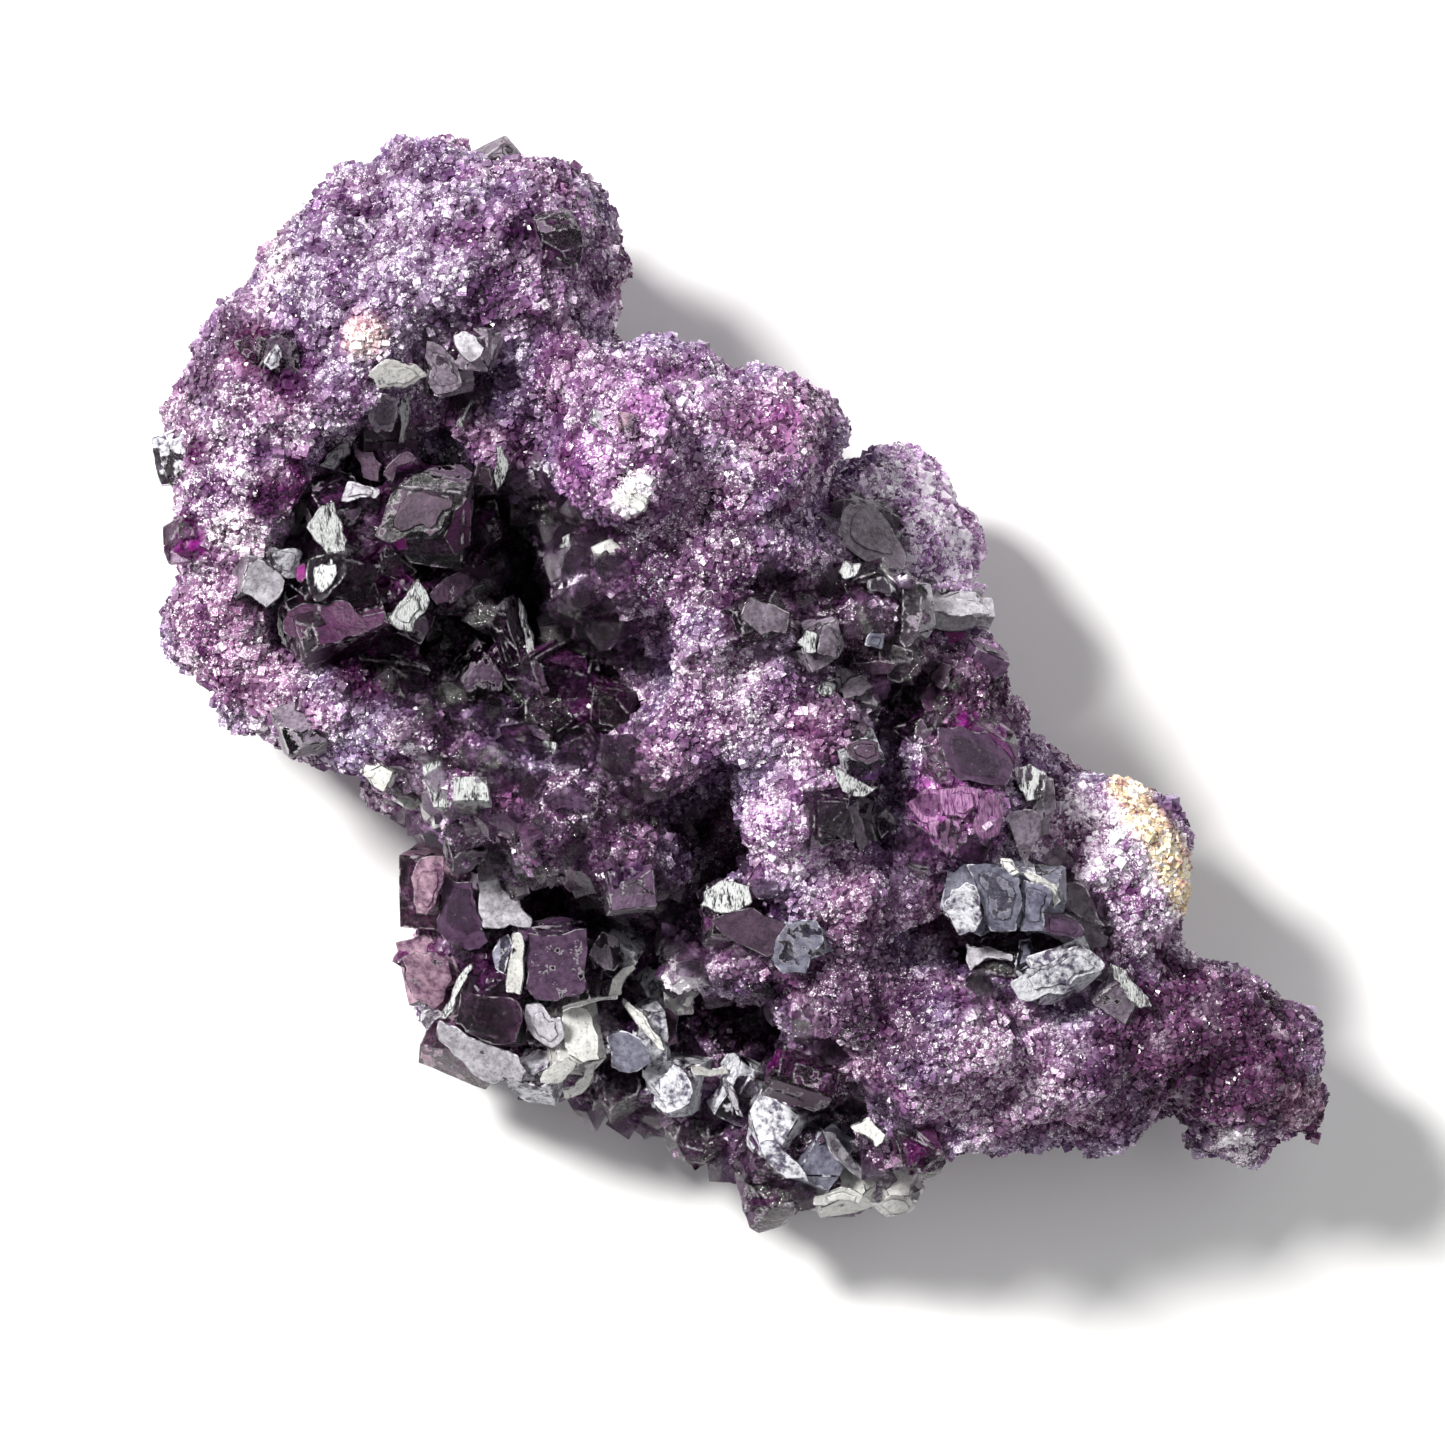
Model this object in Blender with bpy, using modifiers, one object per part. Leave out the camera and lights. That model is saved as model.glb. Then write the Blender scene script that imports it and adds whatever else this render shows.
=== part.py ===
"""A purple fluorite crystal cluster, lying on its flat broken back.

X runs to the right and Y up across the showing side, and Z is the height above the surface it lies on.
The origin is on the flat face, under the middle of the cluster.
The mass is a heap of rounded lumps grown into each other. Single cubes stand out of it, and a crust of
larger cubes fills the hollow in its middle.
"""

import math
import random

import bmesh
import bpy
from mathutils import Euler, Matrix, Vector
from mathutils.bvhtree import BVHTree

MM = 0.001

# Driving dimensions, in millimetres
GAP = 0.3                  # between the mass and the crust in its hollow
GROWTH_VOXEL = 0.55        # how finely the lumps melt into each other
ROUGHNESS = 2.2            # height of the broad unevenness of the lumps
KNOBS = 1.3                # height of the smaller lumps that cover them
MASS_FACES = 5200          # triangles of the mass before crystals are added
WELL_FACES = 500           # triangles of the hollow's wall
FLOOR_FACES = 700          # triangles of the floor in it before it is cut to the wall

# Lumps, each the centre x, y, z and the half sizes x, y, z of an ellipsoid, in millimetres
CORE = [
    (-14.5, 9.5, 7.0, 11.0, 12.0, 9.5),
    (-2.0, 2.5, 7.5, 10.5, 11.0, 10.5),
    (7.5, -8.5, 6.5, 9.0, 8.5, 9.0),
    (-9.5, -3.0, 6.0, 9.0, 6.5, 9.5),
    (12.0, -15.5, 5.5, 8.5, 5.5, 7.5),
    (-3.0, -9.6, 4.5, 4.2, 3.4, 6.5),
]
HEAD = [
    (-13.0, 20.0, 12.5, 7.0, 5.6, 10.5),
    (-17.8, 18.3, 12.0, 5.8, 5.6, 10.0),
    (-14.4, 24.3, 13.5, 2.6, 2.3, 4.6),
    (-10.4, 22.6, 13.0, 2.8, 2.6, 6.0),
    (-8.2, 19.2, 11.5, 2.6, 3.2, 6.5),
    (-19.0, 22.5, 12.0, 2.5, 2.1, 5.0),
    (-21.3, 20.1, 11.5, 2.4, 2.3, 6.0),
    (-11.0, 22.2, 19.0, 1.7, 1.6, 2.9),
    (-7.8, 21.5, 11.0, 1.5, 1.6, 3.2),
    (-15.2, 19.2, 20.0, 2.2, 1.9, 3.6),
    (-19.8, 18.9, 17.5, 1.9, 1.8, 3.2),
    (-11.2, 18.1, 19.0, 2.2, 2.0, 3.4),
    (-8.3, 18.2, 16.5, 1.8, 1.9, 2.8),
]
LEFT_FLANK = [
    (-22.3, 13.0, 11.0, 4.9, 5.2, 8.8),
    (-23.9, 9.4, 10.5, 4.0, 4.6, 8.2),
    (-23.6, 16.7, 10.5, 3.4, 2.8, 6.5),
    (-26.2, 12.2, 9.5, 2.0, 2.4, 4.2),
    (-25.7, 6.9, 9.5, 2.1, 1.9, 5.0),
    (-19.3, 13.6, 14.5, 2.9, 2.7, 7.4),
    (-23.2, 12.9, 17.2, 2.4, 1.9, 3.2),
    (-22.9, 9.2, 16.2, 1.9, 2.1, 3.2),
    (-25.4, 9.9, 14.0, 1.9, 2.2, 3.6),
]
LOWER_LEFT = [
    (-24.8, 2.9, 9.0, 3.3, 3.3, 7.6),
    (-22.7, 0.5, 8.5, 3.1, 2.4, 6.8),
    (-26.2, 2.0, 8.5, 2.0, 1.8, 4.2),
    (-25.0, 4.1, 13.5, 1.7, 1.6, 3.0),
    (-23.3, -0.5, 11.5, 2.2, 1.5, 3.4),
]
LOWER_RIM = [
    (-19.6, -1.0, 11.0, 3.3, 2.7, 6.6),
    (-16.0, -2.4, 12.0, 3.5, 3.1, 7.4),
    (-12.6, -4.7, 13.0, 3.3, 3.0, 6.9),
    (-9.0, -6.5, 14.0, 3.7, 3.2, 7.0),
    (-5.9, -8.4, 14.5, 3.3, 2.7, 6.6),
    (-16.9, -4.8, 9.5, 1.9, 1.8, 3.4),
    (-13.7, -7.2, 13.0, 1.4, 1.4, 3.0),
    (-20.8, -2.6, 11.0, 1.5, 1.2, 3.0),
]
MOUNDS = [
    (-5.2, 11.1, 19.5, 4.6, 5.0, 7.8),
    (-6.3, 4.6, 16.5, 3.3, 2.6, 6.8),
    (-8.8, 5.1, 15.5, 1.7, 1.8, 5.0),
    (-7.7, 14.0, 19.0, 2.3, 2.2, 5.8),
    (-3.9, 15.0, 18.0, 2.6, 1.8, 5.4),
    (0.6, 11.5, 18.0, 4.0, 4.0, 8.0),
    (-1.2, 12.3, 22.0, 1.9, 1.9, 4.2),
    (2.8, 11.2, 17.0, 1.5, 2.5, 6.2),
    (0.6, 8.9, 19.5, 2.2, 1.6, 5.8),
    (-1.2, 6.0, 18.5, 2.7, 2.1, 6.6),
    (2.3, 6.1, 17.5, 2.2, 1.9, 6.2),
    (-9.9, 15.0, 15.0, 2.3, 2.2, 5.6),
    (-11.0, 13.4, 15.5, 1.3, 1.8, 4.6),
]
RIDGE = [
    (-2.3, 1.7, 18.5, 1.8, 2.7, 6.6),
    (1.5, 1.7, 17.0, 3.0, 2.5, 6.6),
    (5.7, 3.0, 15.5, 2.9, 2.9, 6.6),
    (-0.6, -1.7, 18.0, 3.5, 2.8, 7.0),
    (3.1, -2.5, 17.0, 3.2, 2.8, 6.6),
    (-4.1, -3.2, 16.0, 2.7, 2.5, 6.6),
    (1.9, -6.4, 17.5, 3.0, 2.7, 6.6),
    (4.6, -10.0, 15.5, 3.8, 3.1, 6.8),
    (0.9, -9.4, 16.0, 2.0, 1.6, 5.6),
]
RIGHT_SHOULDER = [
    (9.6, -0.2, 13.0, 3.0, 2.8, 6.8),
    (9.6, -5.3, 14.5, 3.8, 3.6, 7.4),
    (11.6, -3.4, 11.5, 1.9, 3.2, 6.2),
    (12.6, -7.0, 10.5, 1.8, 2.4, 5.4),
]
FAR_RIGHT_LUMP = [
    (6.0, 8.0, 7.0, 3.0, 2.9, 5.2),
    (8.2, 5.6, 6.5, 2.1, 2.3, 4.8),
    (6.9, 9.3, 7.5, 1.6, 1.5, 3.4),
]
STAINED_LUMP = [
    (16.5, -8.4, 9.5, 3.8, 3.9, 6.6),
    (15.2, -5.3, 9.0, 2.1, 2.0, 5.2),
    (18.2, -11.2, 9.0, 2.6, 2.9, 5.8),
]
POCKET_BED = [
    (12.5, -9.9, 11.5, 3.4, 2.2, 5.2),
    (14.6, -14.5, 10.5, 3.8, 2.0, 5.2),
]
ARM = [
    (20.2, -17.0, 10.0, 4.9, 3.6, 5.8),
    (24.4, -18.7, 9.5, 3.6, 3.6, 5.4),
    (15.0, -17.8, 11.0, 4.4, 3.4, 6.6),
    (22.6, -15.4, 9.5, 2.9, 1.9, 4.6),
    (26.1, -17.3, 9.0, 1.8, 1.7, 4.0),
    (26.3, -20.2, 9.0, 1.7, 1.8, 3.8),
    (23.4, -21.9, 6.8, 2.3, 1.4, 2.4),
]
BELLY = [
    (9.0, -16.4, 13.0, 5.0, 4.0, 7.0),
    (4.5, -14.8, 13.5, 3.5, 2.7, 6.4),
    (0.2, -13.1, 13.5, 3.2, 2.3, 5.6),
    (12.4, -20.1, 10.0, 4.1, 2.8, 6.2),
    (8.0, -20.8, 9.5, 3.3, 2.4, 6.2),
    (17.0, -20.9, 9.0, 2.7, 1.9, 5.0),
    (-2.7, -13.2, 13.5, 1.7, 2.0, 3.8),
    (2.9, -18.6, 10.5, 2.8, 1.5, 4.0),
]
LEDGE = [
    (-12.5, -12.3, 4.0, 4.0, 3.9, 5.8),
    (-8.0, -12.0, 4.0, 4.0, 4.0, 5.2),
    (-12.2, -16.2, 3.5, 3.6, 2.4, 5.0),
    (-7.0, -16.8, 3.5, 3.9, 3.3, 4.8),
    (-2.4, -19.3, 3.5, 3.9, 3.5, 5.0),
    (1.5, -22.3, 4.0, 3.1, 3.1, 5.0),
    (5.6, -22.9, 4.5, 3.0, 2.7, 5.0),
    (-5.0, -14.0, 1.5, 5.0, 4.2, 3.8),
    (1.2, -17.8, 1.5, 4.5, 4.0, 4.0),
    (6.0, -19.5, 2.0, 4.0, 3.5, 4.2),
]
LUMPS = (
    CORE + HEAD + LEFT_FLANK + LOWER_LEFT + LOWER_RIM + MOUNDS + RIDGE + RIGHT_SHOULDER
    + FAR_RIGHT_LUMP + STAINED_LUMP + POCKET_BED + ARM + BELLY + LEDGE
)

# The hollow is the room of three tall ellipsoids, given as the lumps are
WELL = [
    (-16.6, 6.6, 20.0, 5.4, 6.6, 11.5),
    (-12.4, 4.2, 19.5, 4.2, 6.4, 11.0),
    (-8.4, -0.4, 19.5, 4.2, 2.7, 8.5),
]

# What the hollow's crystals grow on, given as the lumps are
HOLLOW_FLOOR = [
    (-19.0, 5.5, 8.0, 5.0, 8.0, 7.4),
    (-14.5, 6.0, 6.5, 5.5, 8.5, 6.0),
    (-14.0, 0.5, 7.0, 5.5, 4.5, 5.5),
    (-8.5, -0.8, 8.0, 5.5, 4.5, 5.6),
]

# Crystals, each its centre x, y and z and its three sides in millimetres, and its turns about X, Y and Z in
# degrees
HOLLOW_CRYSTALS = [
    (-15.4, 8.3, 16.4, (4.6, 4.0, 4.4), (24, -8, -6)),
    (-19.8, 8.3, 16.4, (2.6, 2.8, 3.0), (30, 28, 20)),
    (-19.6, 5.3, 16.2, (2.8, 3.0, 3.0), (12, 36, -14)),
    (-19.7, 2.8, 15.8, (4.2, 3.4, 3.6), (-22, 16, 12)),
    (-16.1, 3.4, 15.2, (2.0, 3.2, 2.6), (-18, 30, -28)),
    (-14.0, 4.7, 13.6, (2.8, 2.2, 2.6), (26, 14, -18)),
    (-17.3, 12.0, 15.0, (2.6, 2.6, 2.6), (34, 12, 8)),
    (-12.5, 10.4, 12.8, (2.0, 2.4, 2.4), (18, -24, 12)),
    (-11.2, 2.0, 12.8, (1.0, 4.4, 3.2), (10, -16, 14)),
    (-16.8, 0.6, 13.6, (3.2, 2.8, 3.0), (-24, 10, 24)),
    (-12.6, 0.2, 12.4, (3.0, 2.8, 2.8), (14, 26, -32)),
    (-8.6, 0.9, 14.2, (3.0, 2.4, 2.6), (30, -10, 10)),
    (-9.8, -2.0, 13.9, (2.4, 2.2, 2.8), (-16, 20, 34)),
    (-6.2, -0.9, 14.3, (2.6, 2.2, 2.4), (22, -22, -12)),
    (-13.0, 7.4, 12.6, (2.4, 2.2, 2.2), (20, 24, 30)),
    (-17.6, 5.9, 15.4, (2.2, 2.4, 2.2), (38, -14, 40)),
]
RIM_CRYSTALS = [
    (-14.4, 15.2, 18.0, (2.2, 3.0, 2.2), (22, 10, 14)),
    (-12.9, 15.9, 20.2, (2.3, 2.0, 2.2), (16, -28, -12)),
    (-23.4, 5.0, 15.3, (2.2, 2.6, 2.2), (14, 22, -10)),
    (-22.6, 15.6, 18.0, (1.8, 2.2, 2.0), (18, 30, 16)),
    (-9.2, 20.9, 20.9, (2.0, 2.6, 2.2), (12, 24, 12)),
    (-11.8, 25.0, 9.9, (2.0, 1.8, 2.0), (24, 12, 28)),
    (-27.2, 10.9, 12.0, (1.8, 2.4, 2.0), (10, -30, 8)),
    (-26.6, 6.9, 14.6, (2.0, 2.2, 2.2), (-14, -26, 16)),
    (-21.4, -2.3, 15.3, (2.0, 2.4, 2.2), (-26, 12, 22)),
    (-13.6, -7.8, 14.0, (1.9, 1.8, 2.0), (-30, 14, 12)),
    (-5.6, -9.8, 19.9, (2.2, 2.2, 2.2), (-14, 10, 4)),
]
RIDGE_CRYSTALS = [
    (5.9, 7.2, 13.8, (4.6, 3.2, 1.8), (20, 24, -24)),
    (9.3, 3.2, 14.0, (4.4, 1.8, 2.8), (-34, 14, -4)),
    (7.5, 3.2, 18.5, (1.8, 3.0, 2.4), (10, 34, 8)),
    (5.9, 4.6, 19.4, (2.4, 2.2, 2.2), (30, -20, 18)),
    (3.1, 2.0, 22.4, (2.2, 2.0, 2.2), (24, 18, 34)),
    (0.4, 3.0, 23.1, (2.6, 2.2, 2.4), (14, -18, 12)),
    (6.5, 1.2, 19.5, (2.2, 2.0, 2.2), (-18, 32, 26)),
    (5.0, -0.4, 19.2, (2.6, 1.6, 2.0), (-24, 12, -14)),
    (8.3, -2.4, 18.1, (2.0, 2.0, 2.2), (18, 16, 38)),
    (5.2, -3.6, 21.6, (2.2, 2.2, 2.2), (28, 14, 20)),
    (11.0, -3.0, 18.5, (3.0, 2.4, 2.2), (14, 20, -18)),
    (5.4, -6.8, 16.8, (1.8, 2.8, 2.0), (12, -22, 12)),
    (3.5, -6.3, 22.6, (2.0, 2.8, 2.2), (10, 26, 6)),
    (-0.6, -11.0, 17.8, (3.4, 2.6, 2.8), (-22, 14, -10)),
    (2.6, -11.9, 18.9, (2.2, 2.0, 2.0), (16, 20, 22)),
    (13.3, -5.8, 17.4, (1.8, 2.6, 2.0), (12, 34, 10)),
]
POCKET_CRYSTALS = [
    (10.8, -10.2, 16.9, (2.8, 3.2, 2.4), (14, -24, -22)),
    (13.3, -10.0, 17.4, (3.4, 2.6, 2.4), (24, 10, -14)),
    (15.9, -11.4, 13.9, (3.2, 2.0, 2.2), (18, 22, -28)),
    (12.0, -13.4, 14.6, (2.6, 1.8, 2.2), (-20, -12, -6)),
    (14.6, -13.9, 16.3, (3.6, 2.0, 2.4), (-16, 16, 20)),
    (17.5, -14.7, 15.1, (2.2, 1.8, 2.2), (12, 28, -30)),
]
LOW_CRYSTALS = [
    (-1.5, -16.6, 4.8, (2.4, 2.0, 2.2), (-18, 16, 8)),
    (0.4, -16.3, 4.7, (1.8, 1.8, 2.0), (24, -14, 30)),
    (2.5, -18.9, 14.1, (4.0, 1.9, 2.2), (-26, 10, -18)),
    (4.0, -20.4, 8.4, (2.6, 2.0, 2.4), (-20, 18, -12)),
    (8.3, -22.4, 14.2, (2.4, 2.2, 2.2), (-28, 12, 16)),
]
LEDGE_CRYSTALS = [
    (-15.0, -9.8, 7.3, (2.8, 3.6, 3.4), (12, -18, -4)),
    (-12.1, -10.2, 9.4, (2.4, 2.2, 2.6), (20, 14, 6)),
    (-9.0, -13.1, 10.3, (4.2, 3.7, 3.8), (10, -20, 3)),
    (-15.1, -13.5, 6.3, (3.4, 3.2, 3.2), (-12, -26, 24)),
    (-12.3, -15.3, 8.9, (3.2, 3.8, 3.2), (-14, 22, -16)),
    (-13.6, -17.6, 6.8, (4.0, 2.2, 2.8), (-30, -10, -24)),
    (-6.3, -12.9, 9.3, (2.2, 2.0, 2.4), (22, 18, -32)),
    (-4.6, -14.6, 6.2, (2.2, 2.8, 2.4), (14, 26, 38)),
    (-8.6, -17.1, 8.6, (2.4, 3.6, 3.0), (-16, 18, 4)),
    (-5.4, -16.9, 8.0, (2.6, 2.8, 2.8), (18, 12, 12)),
    (-6.2, -19.6, 6.7, (2.8, 2.2, 2.4), (-24, 14, 20)),
    (-10.2, -19.0, 7.9, (2.4, 2.0, 2.4), (-26, -12, -14)),
    (-3.4, -19.4, 8.0, (2.6, 2.6, 2.6), (12, -20, -8)),
    (-2.2, -22.2, 6.5, (2.8, 2.4, 2.6), (-22, 16, 30)),
    (-0.2, -19.6, 7.6, (2.4, 2.8, 2.4), (16, 24, -26)),
    (1.4, -21.4, 10.1, (2.4, 3.0, 2.6), (12, -22, -34)),
    (3.4, -22.7, 9.5, (2.0, 3.2, 2.4), (-14, 20, -30)),
    (1.2, -24.6, 7.0, (3.0, 2.6, 2.6), (-28, -10, 14)),
    (4.6, -24.4, 8.1, (3.0, 1.8, 2.4), (-20, 12, 8)),
    (7.2, -24.5, 7.1, (2.2, 2.0, 2.2), (-18, 22, 26)),
]
MASS_CRYSTALS = RIM_CRYSTALS + RIDGE_CRYSTALS + POCKET_CRYSTALS + LOW_CRYSTALS + LEDGE_CRYSTALS

# The sides and back carry cubes too, where the showing side's own list doesn't reach
SIDE_CRYSTALS = 20
SIDE_SIZES = (1.2, 2.1)
SIDE_DEPTH = 0.25         # how far a side cube's middle lies inside the surface, as a share of its side
SIDE_SEED = 7

MASS_COLOUR = (0.20, 0.12, 0.26, 1.0)
CRUST_COLOUR = (0.06, 0.02, 0.09, 1.0)


def clear_scene():
    for obj in list(bpy.data.objects):
        bpy.data.objects.remove(obj)


def collection_named(name):
    collection = bpy.data.collections.new(name)
    bpy.context.scene.collection.children.link(collection)
    return collection


def material(name, colour, roughness):
    mat = bpy.data.materials.new(name)
    mat.use_nodes = True
    shader = mat.node_tree.nodes["Principled BSDF"]
    shader.inputs["Base Color"].default_value = colour
    shader.inputs["Roughness"].default_value = roughness
    shader.inputs["Metallic"].default_value = 0.0
    return mat


def new_object(name, bm, collection):
    mesh = bpy.data.meshes.new(name)
    bm.to_mesh(mesh)
    bm.free()
    obj = bpy.data.objects.new(name, mesh)
    collection.objects.link(obj)
    return obj


def as_helper(obj):
    """A cutter or a guide, which the finished object doesn't show."""
    obj.hide_render = True
    obj.display_type = "WIRE"
    return obj


def settled(obj):
    """Makes the object's modifiers part of its mesh."""
    bpy.context.view_layer.update()
    graph = bpy.context.evaluated_depsgraph_get()
    mesh = bpy.data.meshes.new_from_object(obj.evaluated_get(graph))
    obj.modifiers.clear()
    obj.data = mesh
    return obj


def heap(name, ellipsoids, collection):
    """One object of all these ellipsoids, not yet grown together."""
    bm = bmesh.new()
    for x, y, z, half_x, half_y, half_z in ellipsoids:
        place = Matrix.Translation(Vector((x, y, z)) * MM)
        size = Matrix.Diagonal((half_x * MM, half_y * MM, half_z * MM, 1))
        bmesh.ops.create_icosphere(bm, subdivisions=3, radius=1, matrix=place @ size)
    return new_object(name, bm, collection)


def grown_together(obj, voxel):
    """One closed skin round all the lumps, with the parts inside it gone."""
    remesh = obj.modifiers.new("grown_together", "REMESH")
    remesh.mode = "VOXEL"
    remesh.voxel_size = voxel * MM
    return obj


def roughened(obj, name, pattern, grain, height, middle=0.5):
    """Pushes the surface in and out by a noise whose lumps are about grain wide."""
    texture = bpy.data.textures.new(name, pattern)
    texture.noise_scale = grain * MM
    displace = obj.modifiers.new(name, "DISPLACE")
    displace.texture = texture
    displace.texture_coords = "LOCAL"
    displace.strength = height * MM
    displace.mid_level = middle
    return obj


def thinned(obj, faces):
    """Fewer triangles, with the surface kept."""
    settled(obj)
    triangles = sum(len(p.vertices) - 2 for p in obj.data.polygons)
    decimate = obj.modifiers.new("thinned", "DECIMATE")
    decimate.ratio = faces / triangles
    return settled(obj)


def boolean(obj, operation, other):
    step = obj.modifiers.new(operation.lower(), "BOOLEAN")
    step.operation = operation
    step.solver = "EXACT"
    step.use_self = True
    if isinstance(other, bpy.types.Collection):
        step.operand_type = "COLLECTION"
        step.collection = other
    else:
        step.object = other
    return obj


def surface_of(obj):
    """The object's surface as it is now, for finding points on it."""
    bm = bmesh.new()
    bm.from_mesh(obj.data)
    tree = BVHTree.FromBMesh(bm)
    bm.free()
    return tree


def crystal(name, centre, sides, turns, collection):
    """A block with flat faces, the fluorite cube in its many proportions."""
    bm = bmesh.new()
    turn = Euler([math.radians(angle) for angle in turns]).to_matrix().to_4x4()
    size = Matrix.Diagonal((*(side * MM for side in sides), 1))
    bmesh.ops.create_cube(bm, size=1, matrix=Matrix.Translation(centre) @ turn @ size)
    return as_helper(new_object(name, bm, collection))


def crystals_listed(rows, prefix, collection):
    for number, (x, y, z, sides, turns) in enumerate(rows, 1):
        crystal(f"{prefix}_{number}", Vector((x, y, z)) * MM, sides, turns, collection)


def crystals_round_the_sides(surface, collection):
    """Cubes on the flanks, found by looking in at the mass from all round."""
    chance = random.Random(SIDE_SEED)
    for number in range(SIDE_CRYSTALS):
        angle = 2 * math.pi * (number + chance.uniform(-0.3, 0.3)) / SIDE_CRYSTALS
        height = chance.uniform(3, 13)
        outward = Vector((math.cos(angle), math.sin(angle), 0))
        start = outward * 60 * MM + Vector((0, 0, height * MM))
        ground = surface.ray_cast(start, -outward)[0]
        side = chance.uniform(*SIDE_SIZES)
        turns = [chance.uniform(0, 90) for _ in range(3)]
        centre = ground - outward * SIDE_DEPTH * side * MM
        crystal(f"side_crystal_{number + 1}", centre, (side, side, side), turns, collection)


def grow_mass(model):
    mass = heap("fluorite_mass", LUMPS, model)
    grown_together(mass, GROWTH_VOXEL)
    roughened(mass, "broad_unevenness", "CLOUDS", 5.0, ROUGHNESS)
    roughened(mass, "knobs", "VORONOI", 2.6, -KNOBS, 0.3)
    grown_together(mass, GROWTH_VOXEL)
    thinned(mass, MASS_FACES)
    return mass


def dig_well(cutters):
    """The room of the hollow, with a rough wall."""
    well = heap("well", WELL, cutters)
    grown_together(well, GROWTH_VOXEL)
    roughened(well, "rough_wall", "CLOUDS", 3.0, ROUGHNESS)
    grown_together(well, GROWTH_VOXEL)
    return as_helper(thinned(well, WELL_FACES))


def shrunk(obj, name, by, collection):
    """A copy whose surface lies this much further in."""
    copy = bpy.data.objects.new(name, obj.data.copy())
    collection.objects.link(copy)
    displace = copy.modifiers.new("shrunk", "DISPLACE")
    displace.strength = -by * MM
    displace.mid_level = 0
    return as_helper(settled(copy))


def cut_flat(obj, cutters):
    """Takes away all that lies below the surface that the cluster rests on."""
    bm = bmesh.new()
    depth = 40
    matrix = Matrix.Translation((0, 0, -depth * MM / 2)) @ Matrix.Diagonal((0.1, 0.1, depth * MM, 1))
    bmesh.ops.create_cube(bm, size=1, matrix=matrix)
    below = as_helper(new_object("below_the_rest", bm, cutters))
    return settled(boolean(obj, "DIFFERENCE", below))


def grow_crust(model, cutters, well):
    """The hollow's crystals on their floor, kept a gap inside the hollow's wall."""
    room = shrunk(well, "crust_room", GAP, cutters)
    crust = heap("hollow_crystals", HOLLOW_FLOOR, model)
    grown_together(crust, GROWTH_VOXEL)
    roughened(crust, "rough_floor", "CLOUDS", 2.5, ROUGHNESS)
    thinned(crust, FLOOR_FACES)
    cubes = collection_named("hollow_crystal_blocks")
    crystals_listed(HOLLOW_CRYSTALS, "hollow_crystal", cubes)
    settled(boolean(crust, "UNION", cubes))
    settled(boolean(crust, "INTERSECT", room))
    return crust


def keep_largest(obj):
    """Drops the crumbs that a cut leaves loose."""
    bm = bmesh.new()
    bm.from_mesh(obj.data)
    left = set(bm.verts)
    groups = []
    while left:
        group, edge = set(), [left.pop()]
        while edge:
            vert = edge.pop()
            group.add(vert)
            for link in vert.link_edges:
                other = link.other_vert(vert)
                if other in left:
                    left.remove(other)
                    edge.append(other)
        groups.append(group)
    groups.sort(key=len)
    for group in groups[:-1]:
        bmesh.ops.delete(bm, geom=list(group), context="VERTS")
    bm.to_mesh(obj.data)
    bm.free()
    return obj


def give_material(obj, mat):
    obj.data.materials.clear()
    obj.data.materials.append(mat)
    for face in obj.data.polygons:
        face.material_index = 0


def main():
    clear_scene()
    model = collection_named("fluorite_crystal_cluster")
    cutters = collection_named("cutters")
    blocks = collection_named("mass_crystal_blocks")

    mass = grow_mass(model)
    crystals_listed(MASS_CRYSTALS, "crystal", blocks)
    crystals_round_the_sides(surface_of(mass), blocks)
    settled(boolean(mass, "UNION", blocks))
    cut_flat(mass, cutters)

    well = dig_well(cutters)
    settled(boolean(mass, "DIFFERENCE", well))
    keep_largest(mass)
    crust = keep_largest(grow_crust(model, cutters, well))

    give_material(mass, material("purple_druse", MASS_COLOUR, 0.35))
    give_material(crust, material("dark_fluorite", CRUST_COLOUR, 0.1))


main()
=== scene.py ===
# %% [markdown]
# # A purple fluorite cluster
# The real piece is a heap of rounded lumps, and every lump wears a coat of tiny crystals called a druse.
# Larger glassy cubes stand in the hollow in the middle and on the ledge at the bottom. The plan follows
# the stone: first the lumps, then the large cubes, then the coat of small crystals over everything.

import itertools
import math
import random

import bmesh
import bpy
import mathutils
import numpy as np
from mathutils import Euler, Matrix, Vector
from mathutils.bvhtree import BVHTree


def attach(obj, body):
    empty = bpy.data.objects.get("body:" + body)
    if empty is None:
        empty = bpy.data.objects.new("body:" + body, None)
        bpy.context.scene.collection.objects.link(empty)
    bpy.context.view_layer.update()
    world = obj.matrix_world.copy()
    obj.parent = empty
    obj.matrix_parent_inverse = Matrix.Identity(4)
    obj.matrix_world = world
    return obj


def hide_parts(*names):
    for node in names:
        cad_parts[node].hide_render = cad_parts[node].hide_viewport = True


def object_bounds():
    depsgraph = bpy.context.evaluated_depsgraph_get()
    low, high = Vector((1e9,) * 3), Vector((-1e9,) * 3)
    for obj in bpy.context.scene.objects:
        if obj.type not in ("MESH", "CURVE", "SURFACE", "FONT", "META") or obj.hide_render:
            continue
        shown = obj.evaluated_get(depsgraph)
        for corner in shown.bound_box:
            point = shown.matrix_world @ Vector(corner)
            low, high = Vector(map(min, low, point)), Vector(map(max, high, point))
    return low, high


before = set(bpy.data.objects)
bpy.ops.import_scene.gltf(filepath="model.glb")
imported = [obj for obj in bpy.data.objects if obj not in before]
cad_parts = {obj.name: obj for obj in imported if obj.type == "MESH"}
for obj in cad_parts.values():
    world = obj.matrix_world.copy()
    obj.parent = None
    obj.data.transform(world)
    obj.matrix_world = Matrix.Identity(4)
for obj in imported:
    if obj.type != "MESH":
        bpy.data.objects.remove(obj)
cad_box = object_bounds()
MM = 0.001
print("CAD box in mm:", [[round(c / MM, 1) for c in corner] for corner in cad_box])

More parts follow.
